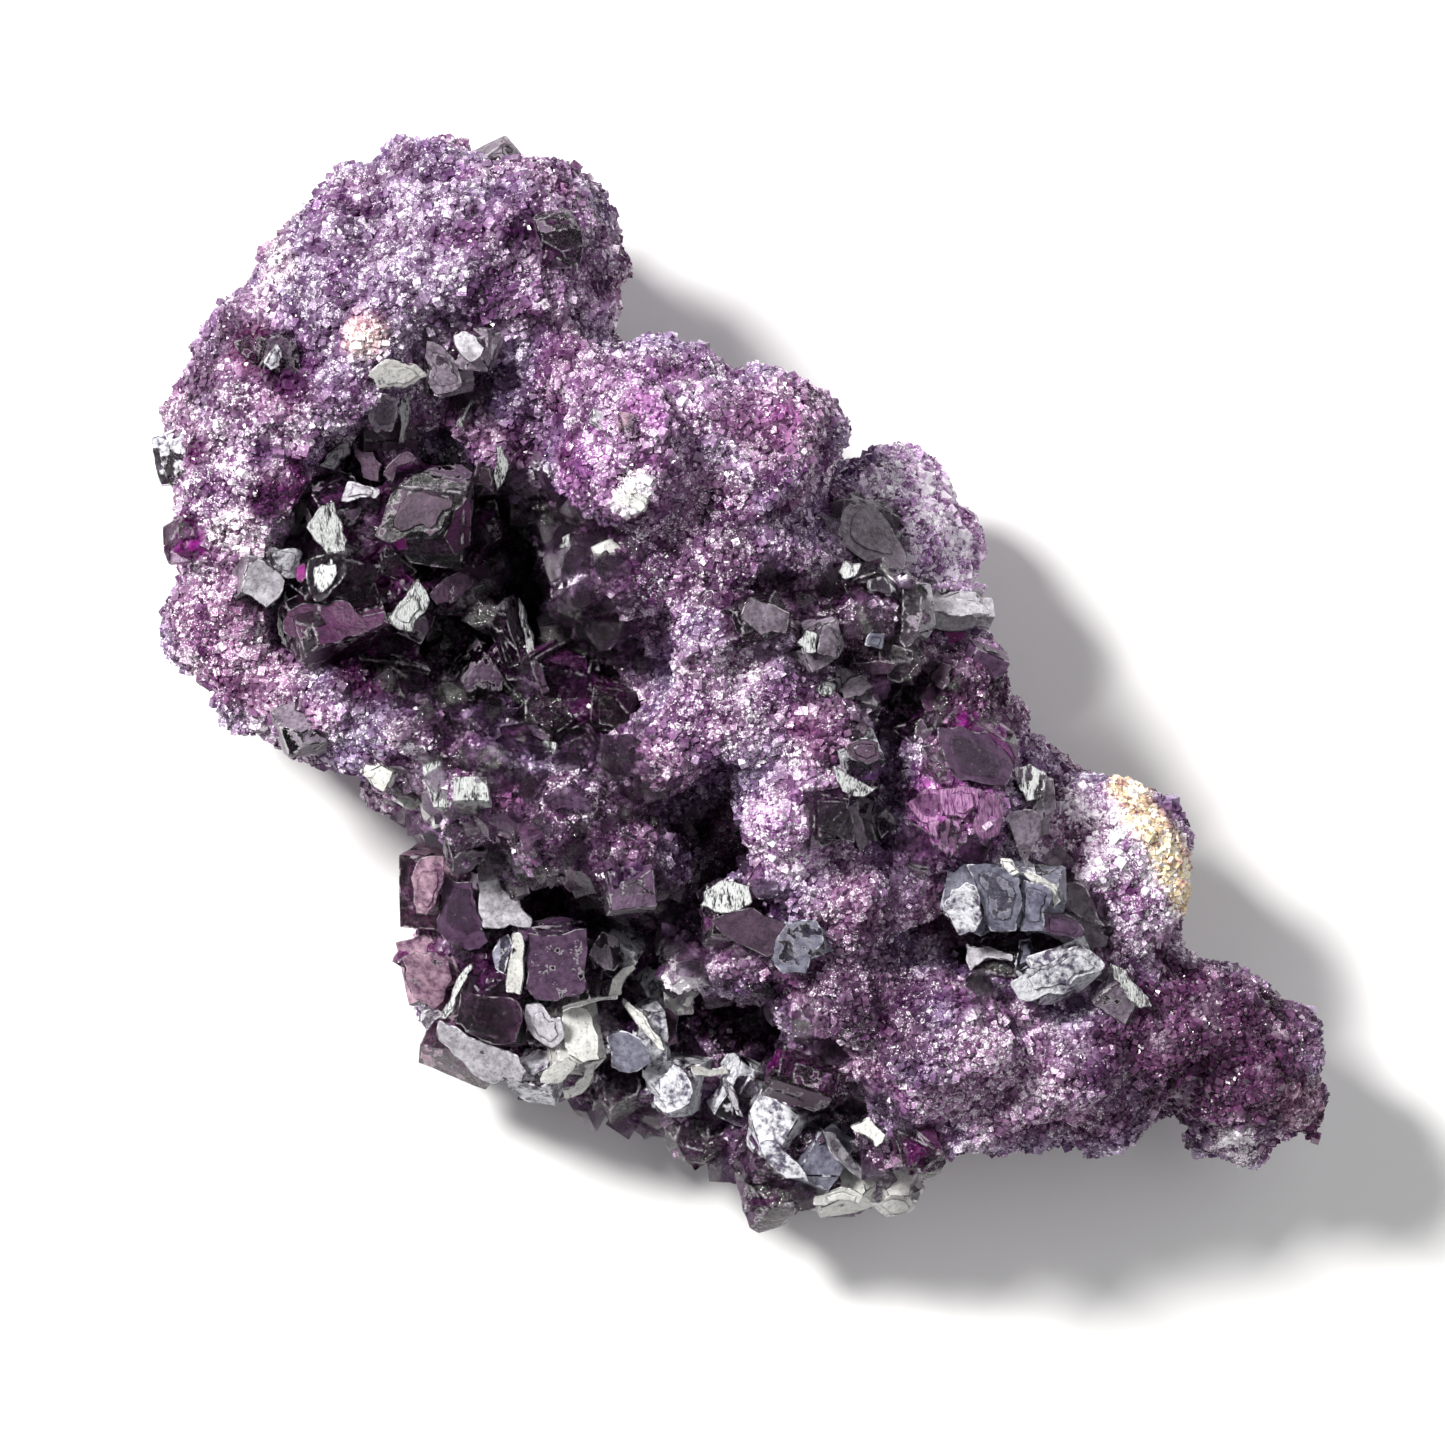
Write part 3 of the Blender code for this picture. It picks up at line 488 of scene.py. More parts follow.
# %% Flat faces and small bits
# Kind, thickness, how far it stands out, then the outline as x y x y. An indented line goes on with it.
FACET_TABLE = """
# the hollow
ash 1.0 0.25  -17.7 7.0 -17.2 8.2 -16.5 9.3 -15.3 10.0 -14.0 9.6 -13.3 9.5 -13.5 8.4 -14.0 8.2 -14.5 7.3
    -15.0 6.9 -15.5 7.2 -16.3 6.9 -17.1 6.6
wine 0.8 0.1  -13.9 8.2 -13.3 8.9 -13.1 8.0 -13.2 6.5 -13.9 6.0 -14.4 6.9
pale 0.7 0.4  -20.4 10.3 -20.0 10.9 -19.4 11.4 -18.9 11.5 -18.9 10.9 -19.4 10.6 -19.7 10.1
ash 0.7 0.3  -18.9 11.5 -18.4 11.0 -17.8 11.0 -17.4 10.4 -17.6 9.6 -18.3 9.8 -18.7 10.8
pale 0.6 0.4  -19.4 8.6 -19.0 9.6 -18.2 9.4 -17.4 9.1 -17.6 8.7 -18.4 8.8
silver 0.9 0.5  -21.0 7.4 -20.3 8.4 -19.6 8.6 -19.2 7.6 -19.0 6.8 -19.1 6.2 -20.0 6.2 -20.5 6.7
silver 0.9 0.5  -20.9 5.9 -20.2 6.1 -19.1 6.2 -19.0 5.3 -19.4 4.6 -20.0 4.0 -20.5 3.8 -20.9 4.6 -21.0 5.3
silver 0.8 0.6  -17.1 3.0 -16.7 3.6 -16.3 4.0 -15.7 5.0 -15.3 4.4 -15.2 3.7 -15.7 3.1 -16.0 2.4 -16.6 2.5
ash 0.7 0.6  -15.2 4.2 -14.6 4.9 -13.8 5.3 -13.3 5.2 -13.0 4.8 -13.5 4.2 -14.1 3.8 -14.8 3.7
pale 1.0 0.4  -24.1 4.6 -23.7 5.7 -23.3 5.95 -22.5 5.4 -22.0 4.9 -22.3 4.0 -22.9 3.5 -23.3 3.8 -24.0 4.2
frosted 0.8 0.5  -22.9 6.1 -22.6 6.5 -21.8 6.4 -21.2 6.2 -21.5 5.0 -22.0 5.0 -22.6 5.5
fuchsia 0.6 0.6  -21.5 5.5 -21.1 5.7 -20.9 5.0 -21.2 4.7 -21.5 5.0
fuchsia 0.5 0.4  -16.9 6.8 -16.2 6.9 -16.1 6.3 -16.6 6.2
wine 1.0 0.3  -21.9 3.4 -21.2 3.8 -20.0 3.7 -19.0 3.9 -18.2 3.2 -17.2 3.4 -17.3 2.8 -18.5 2.2 -19.5 1.9
    -20.8 2.0 -21.9 2.2 -22.2 2.8
silver 0.8 0.5  -11.0 4.1 -10.7 3.6 -10.4 2.6 -10.2 1.6 -9.9 1.0 -10.2 1.0 -10.6 2.0 -10.9 3.0
ash 0.6 0.3  -10.2 1.3 -9.7 0.6 -9.4 -0.4 -9.8 -0.6 -10.3 0.5
silver 0.8 1.2  -12.0 11.2 -11.7 11.3 -11.4 10.6 -11.5 9.8 -11.9 9.1 -12.1 9.8 -12.0 10.5
ash 0.7 0.7  -13.2 9.5 -12.9 10.5 -12.2 10.4 -12.0 9.6 -12.1 9.1
silver 0.5 0.4  -13.9 12.3 -13.2 13.6 -13.0 13.5 -13.6 12.1
silver 0.6 0.4  -16.4 13.6 -16.1 13.6 -16.1 12.4 -16.3 11.4 -16.7 11.3 -16.5 12.4
ash 0.7 0.4  -17.4 9.8 -16.9 10.6 -16.2 11.1 -15.7 10.7 -16.2 10.4 -16.7 10.2 -16.9 9.4
silver 0.5 0.4  -22.1 4.4 -21.9 4.0 -22.2 3.2 -22.3 2.4 -22.0 1.6 -22.3 1.9 -22.5 2.7 -22.4 3.6
frosted 0.6 0.4  -21.6 1.5 -20.9 1.2 -20.2 0.4 -20.8 0.6 -21.2 0.3 -21.1 0.9
# the rim above it
quartz 1.2 0.7  -18.0 14.5 -17.3 15.2 -16.6 15.2 -15.7 15.1 -15.1 14.55 -15.8 14.1 -16.2 13.95 -17.4 13.9
grey 1.2 0.4  -15.2 16.2 -14.4 15.9 -13.8 15.2 -13.6 14.5 -13.5 14.0 -14.2 13.7 -14.8 13.6 -15.2 14.2
    -15.0 14.9 -15.3 15.4
pale 1.0 0.5  -14.0 16.4 -13.5 16.6 -12.8 16.3 -12.4 15.8 -12.6 15.3 -13.2 15.1 -13.6 15.5
grey 1.0 0.5  -18.0 12.6 -17.8 13.3 -17.2 13.7 -16.6 13.5 -16.6 12.8 -16.9 11.9 -17.6 11.8
frosted 0.8 0.3  -22.9 15.2 -22.4 16.1 -22.1 15.8 -22.2 15.0 -22.6 14.8
wine 0.8 0.0  -24.4 16.2 -23.6 16.5 -23.0 15.9 -23.2 15.2 -23.9 15.4
# the ridge
grey 1.2 0.4  4.2 7.0 4.5 8.2 5.1 8.8 6.0 8.6 6.6 7.9 7.0 7.1 7.5 6.2 7.4 5.4 6.2 5.6 5.0 6.1 4.5 6.4
silver 0.8 0.5  7.0 7.1 7.3 7.2 7.8 6.2 7.9 5.2 7.5 5.3 7.4 6.2
pale 0.9 0.9  8.2 2.7 8.4 3.4 9.6 3.2 11.2 3.0 11.6 2.8 11.5 2.6 10.3 2.5 9.2 2.5
pale 1.0 1.3  8.3 3.4 8.4 3.9 9.6 4.1 10.9 3.9 11.6 3.2 10.6 3.2 9.6 3.2
grey 1.2 0.5  7.3 4.6 7.9 4.9 8.3 4.2 8.3 3.2 8.1 2.2 7.4 1.6 7.1 2.0 7.2 3.2
silver 0.7 0.5  4.2 5.2 4.6 5.8 5.4 5.6 5.2 5.1 4.5 4.9
silver 0.7 0.5  5.6 4.9 6.4 5.0 7.0 4.4 6.6 4.0 6.2 4.3 5.6 4.4
silver 0.7 0.5  2.2 1.9 2.7 2.5 3.3 2.3 3.2 1.4 2.7 1.3
blue 0.7 0.5  5.5 1.7 5.8 2.4 6.5 2.3 6.3 1.5
silver 0.7 0.4  3.2 -0.4 3.6 0.1 4.2 -0.1 4.1 -0.7 3.5 -0.7
grey 1.0 0.4  -0.4 3.0 0.1 4.0 1.2 3.6 2.0 3.2 1.8 2.3 0.6 2.2
grey 0.8 0.4  4.2 -0.4 4.8 0.2 5.6 0.3 6.1 -0.2 5.4 -0.6 4.6 -0.8
ash 0.8 0.5  4.9 0.9 6.2 1.1 7.0 0.9 6.7 0.4 5.8 0.3
grey 0.8 0.5  3.2 1.4 3.4 2.6 3.9 2.8 4.3 1.9 4.1 1.2
fuchsia 0.7 0.0  9.2 2.4 10.5 2.5 10.4 1.9 9.6 1.8
ash 0.6 0.4  7.6 0.8 7.8 0.3 7.3 -0.6 6.8 -1.0 7.2 -0.3
ash 0.8 0.3  8.6 0.4 9.1 1.0 9.7 0.8 9.6 0.0 9.2 -0.4
# the magenta gem and its neighbours
gem 1.2 0.25  7.4 -5.7 8.2 -5.1 9.1 -5.0 9.4 -5.8 9.0 -6.7 8.2 -6.6
gem 1.2 0.45  9.0 -5.0 9.9 -4.8 10.9 -5.0 11.0 -5.9 10.2 -6.5 9.3 -6.3
gem 1.2 0.30  10.8 -5.0 11.7 -5.2 12.1 -6.1 11.9 -7.2 11.1 -7.5 10.6 -6.6 10.8 -5.8
gem 1.2 0.35  8.4 -6.6 9.3 -6.3 10.1 -6.7 10.2 -7.6 9.6 -8.3 8.9 -7.8
magenta 1.2 0.30  10.1 -6.7 11.0 -7.0 11.6 -7.6 11.3 -8.4 10.3 -8.5 9.8 -7.9
magenta 1.0 0.25  7.0 -7.2 7.8 -6.6 8.6 -7.2 8.8 -8.2 8.0 -8.6 7.2 -8.1
violet 1.2 0.4  8.9 -2.1 10.0 -2.0 11.4 -2.4 12.2 -3.2 12.6 -4.0 12.2 -4.9 11.0 -4.8 9.9 -4.6 9.2 -3.4
wine 1.0 0.3  8.2 -3.0 8.9 -2.9 9.4 -3.6 9.6 -4.6 9.0 -4.8 8.2 -4.2
silver 0.7 0.5  4.0 -3.9 4.3 -4.0 4.7 -4.7 5.4 -5.0 6.2 -4.9 5.4 -5.4 4.4 -5.1
ash 0.9 0.5  4.6 -3.0 5.3 -2.7 6.1 -2.8 6.3 -3.6 5.6 -3.9 4.9 -3.6
violet 0.9 0.4  3.2 -5.5 4.6 -5.6 5.0 -6.6 5.0 -7.6 4.2 -7.2 3.2 -6.7
grey 0.8 0.5  4.7 -5.8 5.2 -5.6 5.4 -6.6 5.9 -7.6 5.3 -8.0 5.0 -7.2
pale 0.8 0.5  6.1 -6.4 6.5 -5.9 7.1 -6.6 7.0 -7.0 6.3 -7.4
grey 0.9 0.3  12.2 -6.2 13.0 -6.0 13.9 -6.2 13.8 -7.4 13.2 -9.0 12.8 -8.2 12.4 -7.0
silver 0.8 0.4  12.6 -4.0 13.4 -3.8 14.2 -4.3 14.1 -5.2 13.2 -5.6 12.8 -5.0
# the frosted pocket
blue 1.0 0.6  10.3 -8.6 11.2 -8.5 12.2 -8.8 12.9 -9.2 13.0 -10.0 12.9 -11.0 12.7 -11.8 11.5 -11.8 11.1 -11.2
    11.1 -10.6 10.8 -9.6
blue 1.0 0.5  13.0 -9.3 13.9 -9.5 14.4 -9.9 14.3 -10.6 14.0 -10.9 14.0 -11.8 12.9 -11.8 12.9 -10.4
quartz 0.6 0.8  12.9 -9.0 13.9 -9.2 14.6 -9.6 14.8 -10.3 14.4 -10.7 14.3 -10.2 14.1 -9.8 13.6 -9.5
quartz 0.8 0.7  11.9 -8.3 12.5 -8.4 12.9 -9.0 12.4 -9.2 12.0 -8.8
frosted 1.0 0.6  9.3 -10.4 9.6 -9.8 10.3 -9.4 10.8 -9.6 11.0 -10.5 11.1 -11.2 10.8 -11.9 10.0 -12.0 9.6 -11.2
violet 0.8 0.5  14.0 -10.9 14.8 -10.9 15.6 -11.2 16.0 -11.8 15.6 -12.2 14.6 -12.0 14.0 -11.8
pale 0.7 0.5  10.4 -12.4 10.9 -12.6 11.8 -12.7 12.6 -12.9 12.6 -13.2 11.7 -13.1 11.0 -13.4 10.6 -13.7
    10.4 -13.2
blue 0.7 0.4  12.9 -12.2 13.4 -12.1 13.6 -12.8 13.3 -13.5 12.7 -13.7 12.8 -13.0
frosted 1.0 0.5  12.4 -14.2 13.2 -13.6 14.2 -13.3 15.0 -12.7 15.8 -12.5 16.6 -12.9 17.0 -13.4 16.6 -13.8
    15.6 -14.0 15.0 -14.8 13.8 -15.0 12.8 -15.1
silver 0.7 0.4  17.2 -13.3 18.0 -13.7 18.6 -14.6 19.2 -15.4 18.6 -15.5 17.8 -14.6 17.4 -14.0
grey 0.9 0.3  15.0 -9.6 15.6 -9.4 16.2 -9.9 16.6 -10.8 17.0 -11.6 16.2 -11.3 15.4 -10.9 15.0 -10.3
# the belly
silver 0.9 0.5  -2.1 -9.9 -1.2 -9.3 0.0 -9.6 0.2 -10.4 -0.6 -11.0 -1.6 -10.9 -2.3 -10.6
ash 0.9 0.4  -1.8 -11.2 0.2 -10.6 1.7 -11.3 2.0 -12.0 0.9 -13.0 -0.8 -12.2
blue 0.9 0.4  1.9 -11.3 3.2 -11.2 3.6 -12.2 2.8 -13.8 1.6 -13.8 1.1 -13.0
quartz 1.2 1.2  -4.1 -13.2 -3.2 -13.9 -2.4 -14.0 -2.3 -14.9 -2.7 -15.5 -2.6 -16.0 -3.5 -16.0 -4.0 -15.5
# the ledge
pale 1.2 0.7  -13.0 -9.1 -12.0 -9.0 -11.7 -9.9 -11.0 -10.2 -10.8 -10.9 -10.3 -11.3 -10.4 -11.8 -11.4 -11.6
    -12.0 -11.8 -12.7 -11.7 -12.9 -11.0
quartz 1.4 0.7  -11.3 -11.9 -10.75 -12.0 -10.75 -13.2 -10.9 -15.0 -11.6 -14.9 -11.6 -14.2 -11.4 -13.2
blue 1.0 0.4  -12.3 -13.0 -11.9 -12.2 -11.4 -12.0 -11.45 -13.2 -11.65 -14.0 -12.1 -13.7
violet 1.2 0.5  -10.6 -11.9 -8.9 -12.0 -7.7 -11.7 -7.6 -12.9 -7.8 -14.0 -7.7 -14.6 -8.3 -15.0 -9.2 -15.25
    -10.2 -15.2 -10.7 -14.6 -10.7 -13.2
grey 1.0 0.4  -7.0 -11.9 -6.2 -12.2 -6.1 -13.0 -5.8 -13.3 -6.4 -13.8 -7.3 -13.4 -7.7 -13.0 -7.4 -12.4
quartz 0.6 0.7  -5.5 -13.4 -5.35 -13.7 -6.0 -14.4 -6.1 -15.0 -6.8 -15.0 -6.5 -14.2 -6.0 -13.6
quartz 0.6 0.8  -6.2 -14.95 -6.2 -15.2 -8.0 -15.55 -8.9 -15.8 -8.9 -15.5 -8.0 -15.2 -7.0 -15.0
quartz 0.6 0.8  -6.0 -15.1 -5.4 -15.6 -4.8 -16.2 -4.3 -16.9 -3.95 -17.6 -4.25 -17.6 -4.9 -16.9 -5.5 -16.2
    -6.1 -15.3
quartz 1.2 0.7  -8.9 -15.6 -8.2 -15.45 -7.7 -15.6 -7.4 -16.4 -7.15 -17.4 -7.1 -18.1 -7.9 -18.3 -8.6 -17.8
    -8.9 -16.6
quartz 1.0 0.6  -9.95 -19.2 -9.9 -18.7 -9.3 -18.2 -8.6 -17.9 -8.2 -18.2 -8.6 -18.8 -9.0 -19.2
quartz 1.0 0.6  -7.9 -18.3 -7.1 -18.1 -7.4 -18.9 -8.0 -19.8 -8.9 -20.0 -9.0 -19.5 -8.4 -19.4 -7.95 -18.9
pale 1.0 0.5  -10.7 -15.4 -9.9 -15.3 -9.4 -16.0 -8.95 -16.0 -8.8 -17.0 -9.4 -17.6 -10.3 -17.1 -10.7 -16.4
blue 1.0 0.5  -6.8 -17.0 -6.1 -16.7 -5.5 -16.9 -4.9 -17.4 -4.7 -18.3 -5.3 -18.7 -6.1 -18.7 -6.6 -18.5
    -6.6 -17.6
rose 1.4 1.0  -16.7 -13.2 -16.0 -12.9 -15.1 -12.9 -14.4 -13.2 -14.2 -14.2 -14.6 -15.3 -15.2 -15.8 -16.1 -15.2
    -16.5 -14.2
rose 1.2 0.8  -16.2 -9.3 -15.8 -8.4 -14.6 -8.3 -14.6 -9.6 -15.0 -10.7 -15.4 -11.2 -16.1 -10.6
violet 1.2 0.4  -14.6 -9.2 -13.2 -9.5 -13.0 -10.9 -12.8 -11.8 -12.4 -12.4 -13.4 -12.9 -14.6 -12.3 -15.0 -11.4
    -14.7 -10.3
silver 0.6 0.8  -13.3 -13.4 -13.15 -13.6 -13.6 -14.2 -14.0 -15.0 -14.1 -15.7 -14.5 -16.1 -14.8 -16.1
    -14.3 -15.2 -14.0 -14.2
pale 0.8 0.5  -15.7 -15.8 -15.1 -15.6 -14.6 -15.9 -15.1 -16.2 -15.5 -16.8 -15.8 -16.4
pale 1.2 0.6  -14.9 -16.2 -14.0 -16.5 -13.0 -17.1 -11.8 -17.6 -11.0 -17.9 -10.6 -18.6 -10.9 -19.2 -12.2 -19.3
    -13.3 -18.8 -14.2 -17.9 -14.9 -17.2
wine 1.0 0.4  -13.8 -14.6 -13.3 -14.9 -12.0 -15.0 -11.0 -15.3 -10.8 -16.2 -11.1 -17.2 -12.2 -17.4 -13.5 -16.7
    -14.1 -16.3
ash 1.0 0.5  -4.5 -15.8 -3.9 -15.6 -3.3 -16.1 -3.3 -17.4 -3.9 -17.5 -4.3 -16.6
frosted 1.0 0.5  -4.3 -19.0 -3.6 -18.3 -3.0 -18.6 -2.6 -19.6 -3.0 -20.4 -3.9 -20.7 -4.3 -20.0
quartz 0.7 0.6  -2.8 -18.4 -1.8 -18.6 -1.0 -18.4 -0.9 -18.8 -1.8 -19.0 -2.6 -18.9
pale 0.7 0.6  -1.2 -18.9 -0.6 -19.6 -0.2 -20.9 -0.5 -20.8 -1.0 -19.8
frosted 1.0 0.5  0.5 -22.0 1.4 -21.9 2.4 -23.0 2.9 -23.9 1.8 -23.8 0.9 -22.9
quartz 0.8 0.6  4.9 -21.2 5.8 -20.7 6.6 -21.6 6.1 -22.2 5.6 -21.6
pale 0.8 0.6  3.4 -21.3 4.2 -21.6 5.4 -23.2 5.7 -23.9 4.9 -23.5 4.0 -22.6
quartz 0.8 0.5  3.2 -24.6 4.6 -24.2 5.6 -24.6 5.4 -25.1 4.2 -24.9 3.2 -25.1
quartz 0.8 0.5  5.9 -25.1 6.8 -24.6 7.8 -24.7 8.2 -25.2 7.6 -25.6 6.6 -25.7
"""
FACETS = []
for line in FACET_TABLE.splitlines():
    for word in line.split() if not line.startswith("#") else ():
        if word.isalpha():
            FACETS.append([word])
        else:
            FACETS[-1].append(float(word))
print(len(FACETS), "flat faces")

# Small bits that stand on the stone
DETAILS = [
    # x, y, rise, sides, turns, kind
    (-12.0, 17.0, 0.1, (1.2, 1.6, 1.2), (20, 10, 40), "grey"),
    (-9.7, -3.4, 0.3, (1.4, 1.2, 0.9), (-14, -18, 0), "silver"),
    (-14.6, -4.6, 0.2, (1.0, 3.0, 1.4), (-8, -20, 20), "silver"),
    (-13.0, -5.2, 0.2, (1.8, 1.2, 1.2), (-20, -10, 0), "silver"),
    (-8.4, 5.3, 0.2, (0.8, 3.4, 1.2), (-8, -20, 14), "silver"),
    (-6.6, 6.3, 0.2, (1.4, 0.8, 0.8), (10, 20, 30), "quartz"),
    (-5.3, 8.6, 0.1, (1.4, 0.9, 0.8), (20, 10, -30), "quartz"),
    (-6.9, 12.2, 0.1, (1.3, 0.8, 0.7), (-14, -8, -40), "pale"),
    (-5.6, 12.0, 0.1, (0.9, 1.3, 0.7), (-10, 20, 10), "rose"),
    (-16.2, -5.2, 0.0, (2.0, 1.4, 1.4), (10, 10, -24), "quartz"),
    (-17.6, -4.2, 0.0, (1.6, 1.1, 1.2), (20, -10, -30), "quartz"),
    (-14.9, -6.2, 0.0, (1.6, 1.3, 1.3), (16, 10, 20), "quartz"),
    (-12.2, -4.4, 0.2, (1.6, 1.2, 1.0), (16, 10, 50), "dark"),
    (-8.0, -2.6, 0.2, (1.7, 1.4, 1.2), (12, -16, 20), "wine"),
    (-6.2, -3.8, 0.2, (1.5, 1.7, 1.2), (-18, 10, 30), "dark"),
    (-4.6, 0.9, 0.2, (1.5, 1.3, 1.1), (18, 14, 8), "dark"),
    (7.4, 0.9, 0.3, (1.4, 1.8, 0.9), (14, -18, -20), "dark"),
    (6.9, -3.0, 0.2, (1.4, 1.9, 1.4), (14, -10, -18), "violet"),
    (9.0, -1.0, 0.2, (1.8, 2.2, 1.4), (-14, 16, 12), "wine"),
    (11.2, 0.9, 0.1, (2.0, 1.6, 1.4), (18, 12, -20), "violet"),
    (7.6, -8.6, 0.1, (1.8, 1.4, 1.4), (10, -16, 40), "magenta"),
]

# %% [markdown]
# ## How a large crystal is built
# Fluorite grows in parallel steps, so a crystal is one block and a few smaller ones that share its turns
# and stand out of its faces. Corners break off along the planes in which fluorite cleaves. Every edge has a
# narrow bevel, because a real edge always catches a thin line of light, and noise bends the faces a little.
# Each face gets its own share of frost, which the finish reads.

# %% Build the large crystals
SMALLER_BLOCKS = 3   # that stand out of each crystal's faces
EDGE = 0.05          # bevel of the edges, mm
SLACK = 0.06         # how far an uneven face may reach past its block, mm
LONG_EDGE = 0.7      # longer edges are cut in two, so that the face between them can bend, mm
DIAGONALS = list(itertools.product((-1, 1), repeat=3))
mathutils.noise.seed_set(1)   # otherwise this noise takes its seed from the clock


def turned_frame(centre, turns):
    turn = Euler([math.radians(angle) for angle in turns]).to_matrix().to_4x4()
    return Matrix.Translation(Vector(centre)) @ turn


def cut_away(form, centre, direction, depth):
    """Cuts the form off at this depth along a direction, and closes it with a flat face."""
    cut = bmesh.ops.bisect_plane(
        form, geom=form.verts[:] + form.edges[:] + form.faces[:],
        plane_co=Vector(centre) + direction * depth, plane_no=direction, clear_outer=True)
    rim = [e for e in cut["geom_cut"] if isinstance(e, bmesh.types.BMEdge)]
    if rim:
        bmesh.ops.contextual_create(form, geom=rim)


def broken_block(sides, offset, chance, breaks, side_cuts=0):
    """A cube with two leaning sides, some corners broken off and, if asked, an uneven outline."""
    form = bmesh.new()
    bmesh.ops.create_cube(form, size=1, matrix=Matrix.Translation(offset) @ Matrix.Diagonal((*sides, 1)))
    for axis in chance.sample((0, 1, 2), 2):
        lean = [chance.uniform(-0.22, 0.22) for _ in range(3)]
        lean[axis] = chance.choice((-1, 1))
        cut_away(form, offset, Vector(lean).normalized(), sides[axis] * chance.uniform(0.42, 0.5))
    for diagonal in chance.sample(DIAGONALS, breaks):
        corner = Vector([sign * side / 2 for sign, side in zip(diagonal, sides)])
        away = Vector([sign * chance.uniform(0.5, 1.5) for sign in diagonal]).normalized()
        cut_away(form, offset, away, corner.dot(away) - chance.uniform(0.2, 0.6) * min(sides))
    thin = sides.index(min(sides))
    for _ in range(side_cuts):
        angle = chance.uniform(0, 2 * math.pi)
        away = Vector((math.cos(angle), math.sin(angle), chance.uniform(-0.3, 0.3)))
        away = Vector([away[(axis - thin - 1) % 3] for axis in range(3)]).normalized()
        support = sum(abs(part) * side / 2 for part, side in zip(away, sides))
        cut_away(form, offset, away, support * chance.uniform(0.66, 0.9))
    return form


def dressed(form, chance, frost_share, wavy, border=0.26, edge_rim_and_glint=1.0):
    """Gives a block bevelled edges, a border on each face and uneven faces. No point leaves its box."""
    bmesh.ops.remove_doubles(form, verts=form.verts[:], dist=0.03)
    bmesh.ops.dissolve_degenerate(form, edges=form.edges[:], dist=0.02)
    spots = np.array([vert.co for vert in form.verts])
    low, high = spots.min(axis=0) - SLACK, spots.max(axis=0) + SLACK
    edge = form.verts.layers.float.new("edge")
    frost = form.faces.layers.float.new("frost")
    made = bmesh.ops.bevel(form, geom=form.edges[:], offset=min(EDGE, 0.1 * min(high - low)), segments=1,
                           affect="EDGES", clamp_overlap=True)
    narrow = set(made["faces"])
    flat = [face for face in form.faces if face not in narrow]
    for vert in form.verts:
        # The edge value picks the white rim, mostly a painted highlight
        vert[edge] = edge_rim_and_glint
    for face in flat:
        face[frost] = min(1.0, max(0.0, chance.gauss(frost_share, 0.3)))
        reach = min(border, 0.18 * math.sqrt(face.calc_area()))
        bmesh.ops.inset_individual(form, faces=[face], thickness=reach,
                                   depth=chance.uniform(-0.03, 0.02), use_even_offset=False)
        for vert in face.verts:
            vert[edge] = 0.0
    bmesh.ops.triangulate(form, faces=flat)
    long_edges = [e for e in form.edges if e.calc_length() > LONG_EDGE]
    bmesh.ops.subdivide_edges(form, edges=long_edges, cuts=1, use_grid_fill=True)
    bmesh.ops.triangulate(form, faces=[face for face in form.faces if len(face.verts) > 4])
    start = Vector([chance.uniform(0, 50) for _ in range(3)])
    for vert in form.verts:
        vert.co += wavy * mathutils.noise.noise_vector(vert.co * 0.8 + start)
        vert.co += 0.4 * wavy * mathutils.noise.noise_vector(vert.co * 2.7 + start)
        vert.co = np.clip(vert.co, low, high)
    bmesh.ops.recalc_face_normals(form, faces=form.faces[:])
    return form


def middle_of(outline):
    return sum(outline, Vector((0, 0))) / len(outline)


def plate(outline, thickness, chance):
    """A flat shard with this outline, made ragged: narrower below, its upper face at height 0."""
    form = bmesh.new()
    ragged = []
    for first, second in zip(outline, outline[1:] + outline[:1]):
        across = (second - first).orthogonal()
        between = first.lerp(second, chance.uniform(0.35, 0.65))
        ragged += [first, between + across * chance.uniform(-0.13, 0.13)]
    middle = middle_of(ragged)
    upper = [form.verts.new((*spot, 0)) for spot in ragged]
    lower = [form.verts.new((*middle.lerp(spot, 0.85), -thickness)) for spot in ragged]
    form.faces.new(upper)
    form.faces.new(lower[::-1])
    for i in range(len(ragged)):
        j = (i + 1) % len(ragged)
        form.faces.new((upper[i], lower[i], lower[j], upper[j]))
    return form


def add_form(whole, form, matrix, own):
    """Adds a block to the whole, in place, with the number that is its own."""
    bmesh.ops.transform(form, matrix=Matrix.Scale(MM, 4) @ matrix, verts=form.verts[:])
    part_mesh = bpy.data.meshes.new("part")
    form.to_mesh(part_mesh)
    form.free()
    before = len(whole.verts)
    whole.from_mesh(part_mesh)
    whole.verts.ensure_lookup_table()
    luck = whole.verts.layers.float["chance"]
    for vert in whole.verts[before:]:
        vert[luck] = own
    bpy.data.meshes.remove(part_mesh)


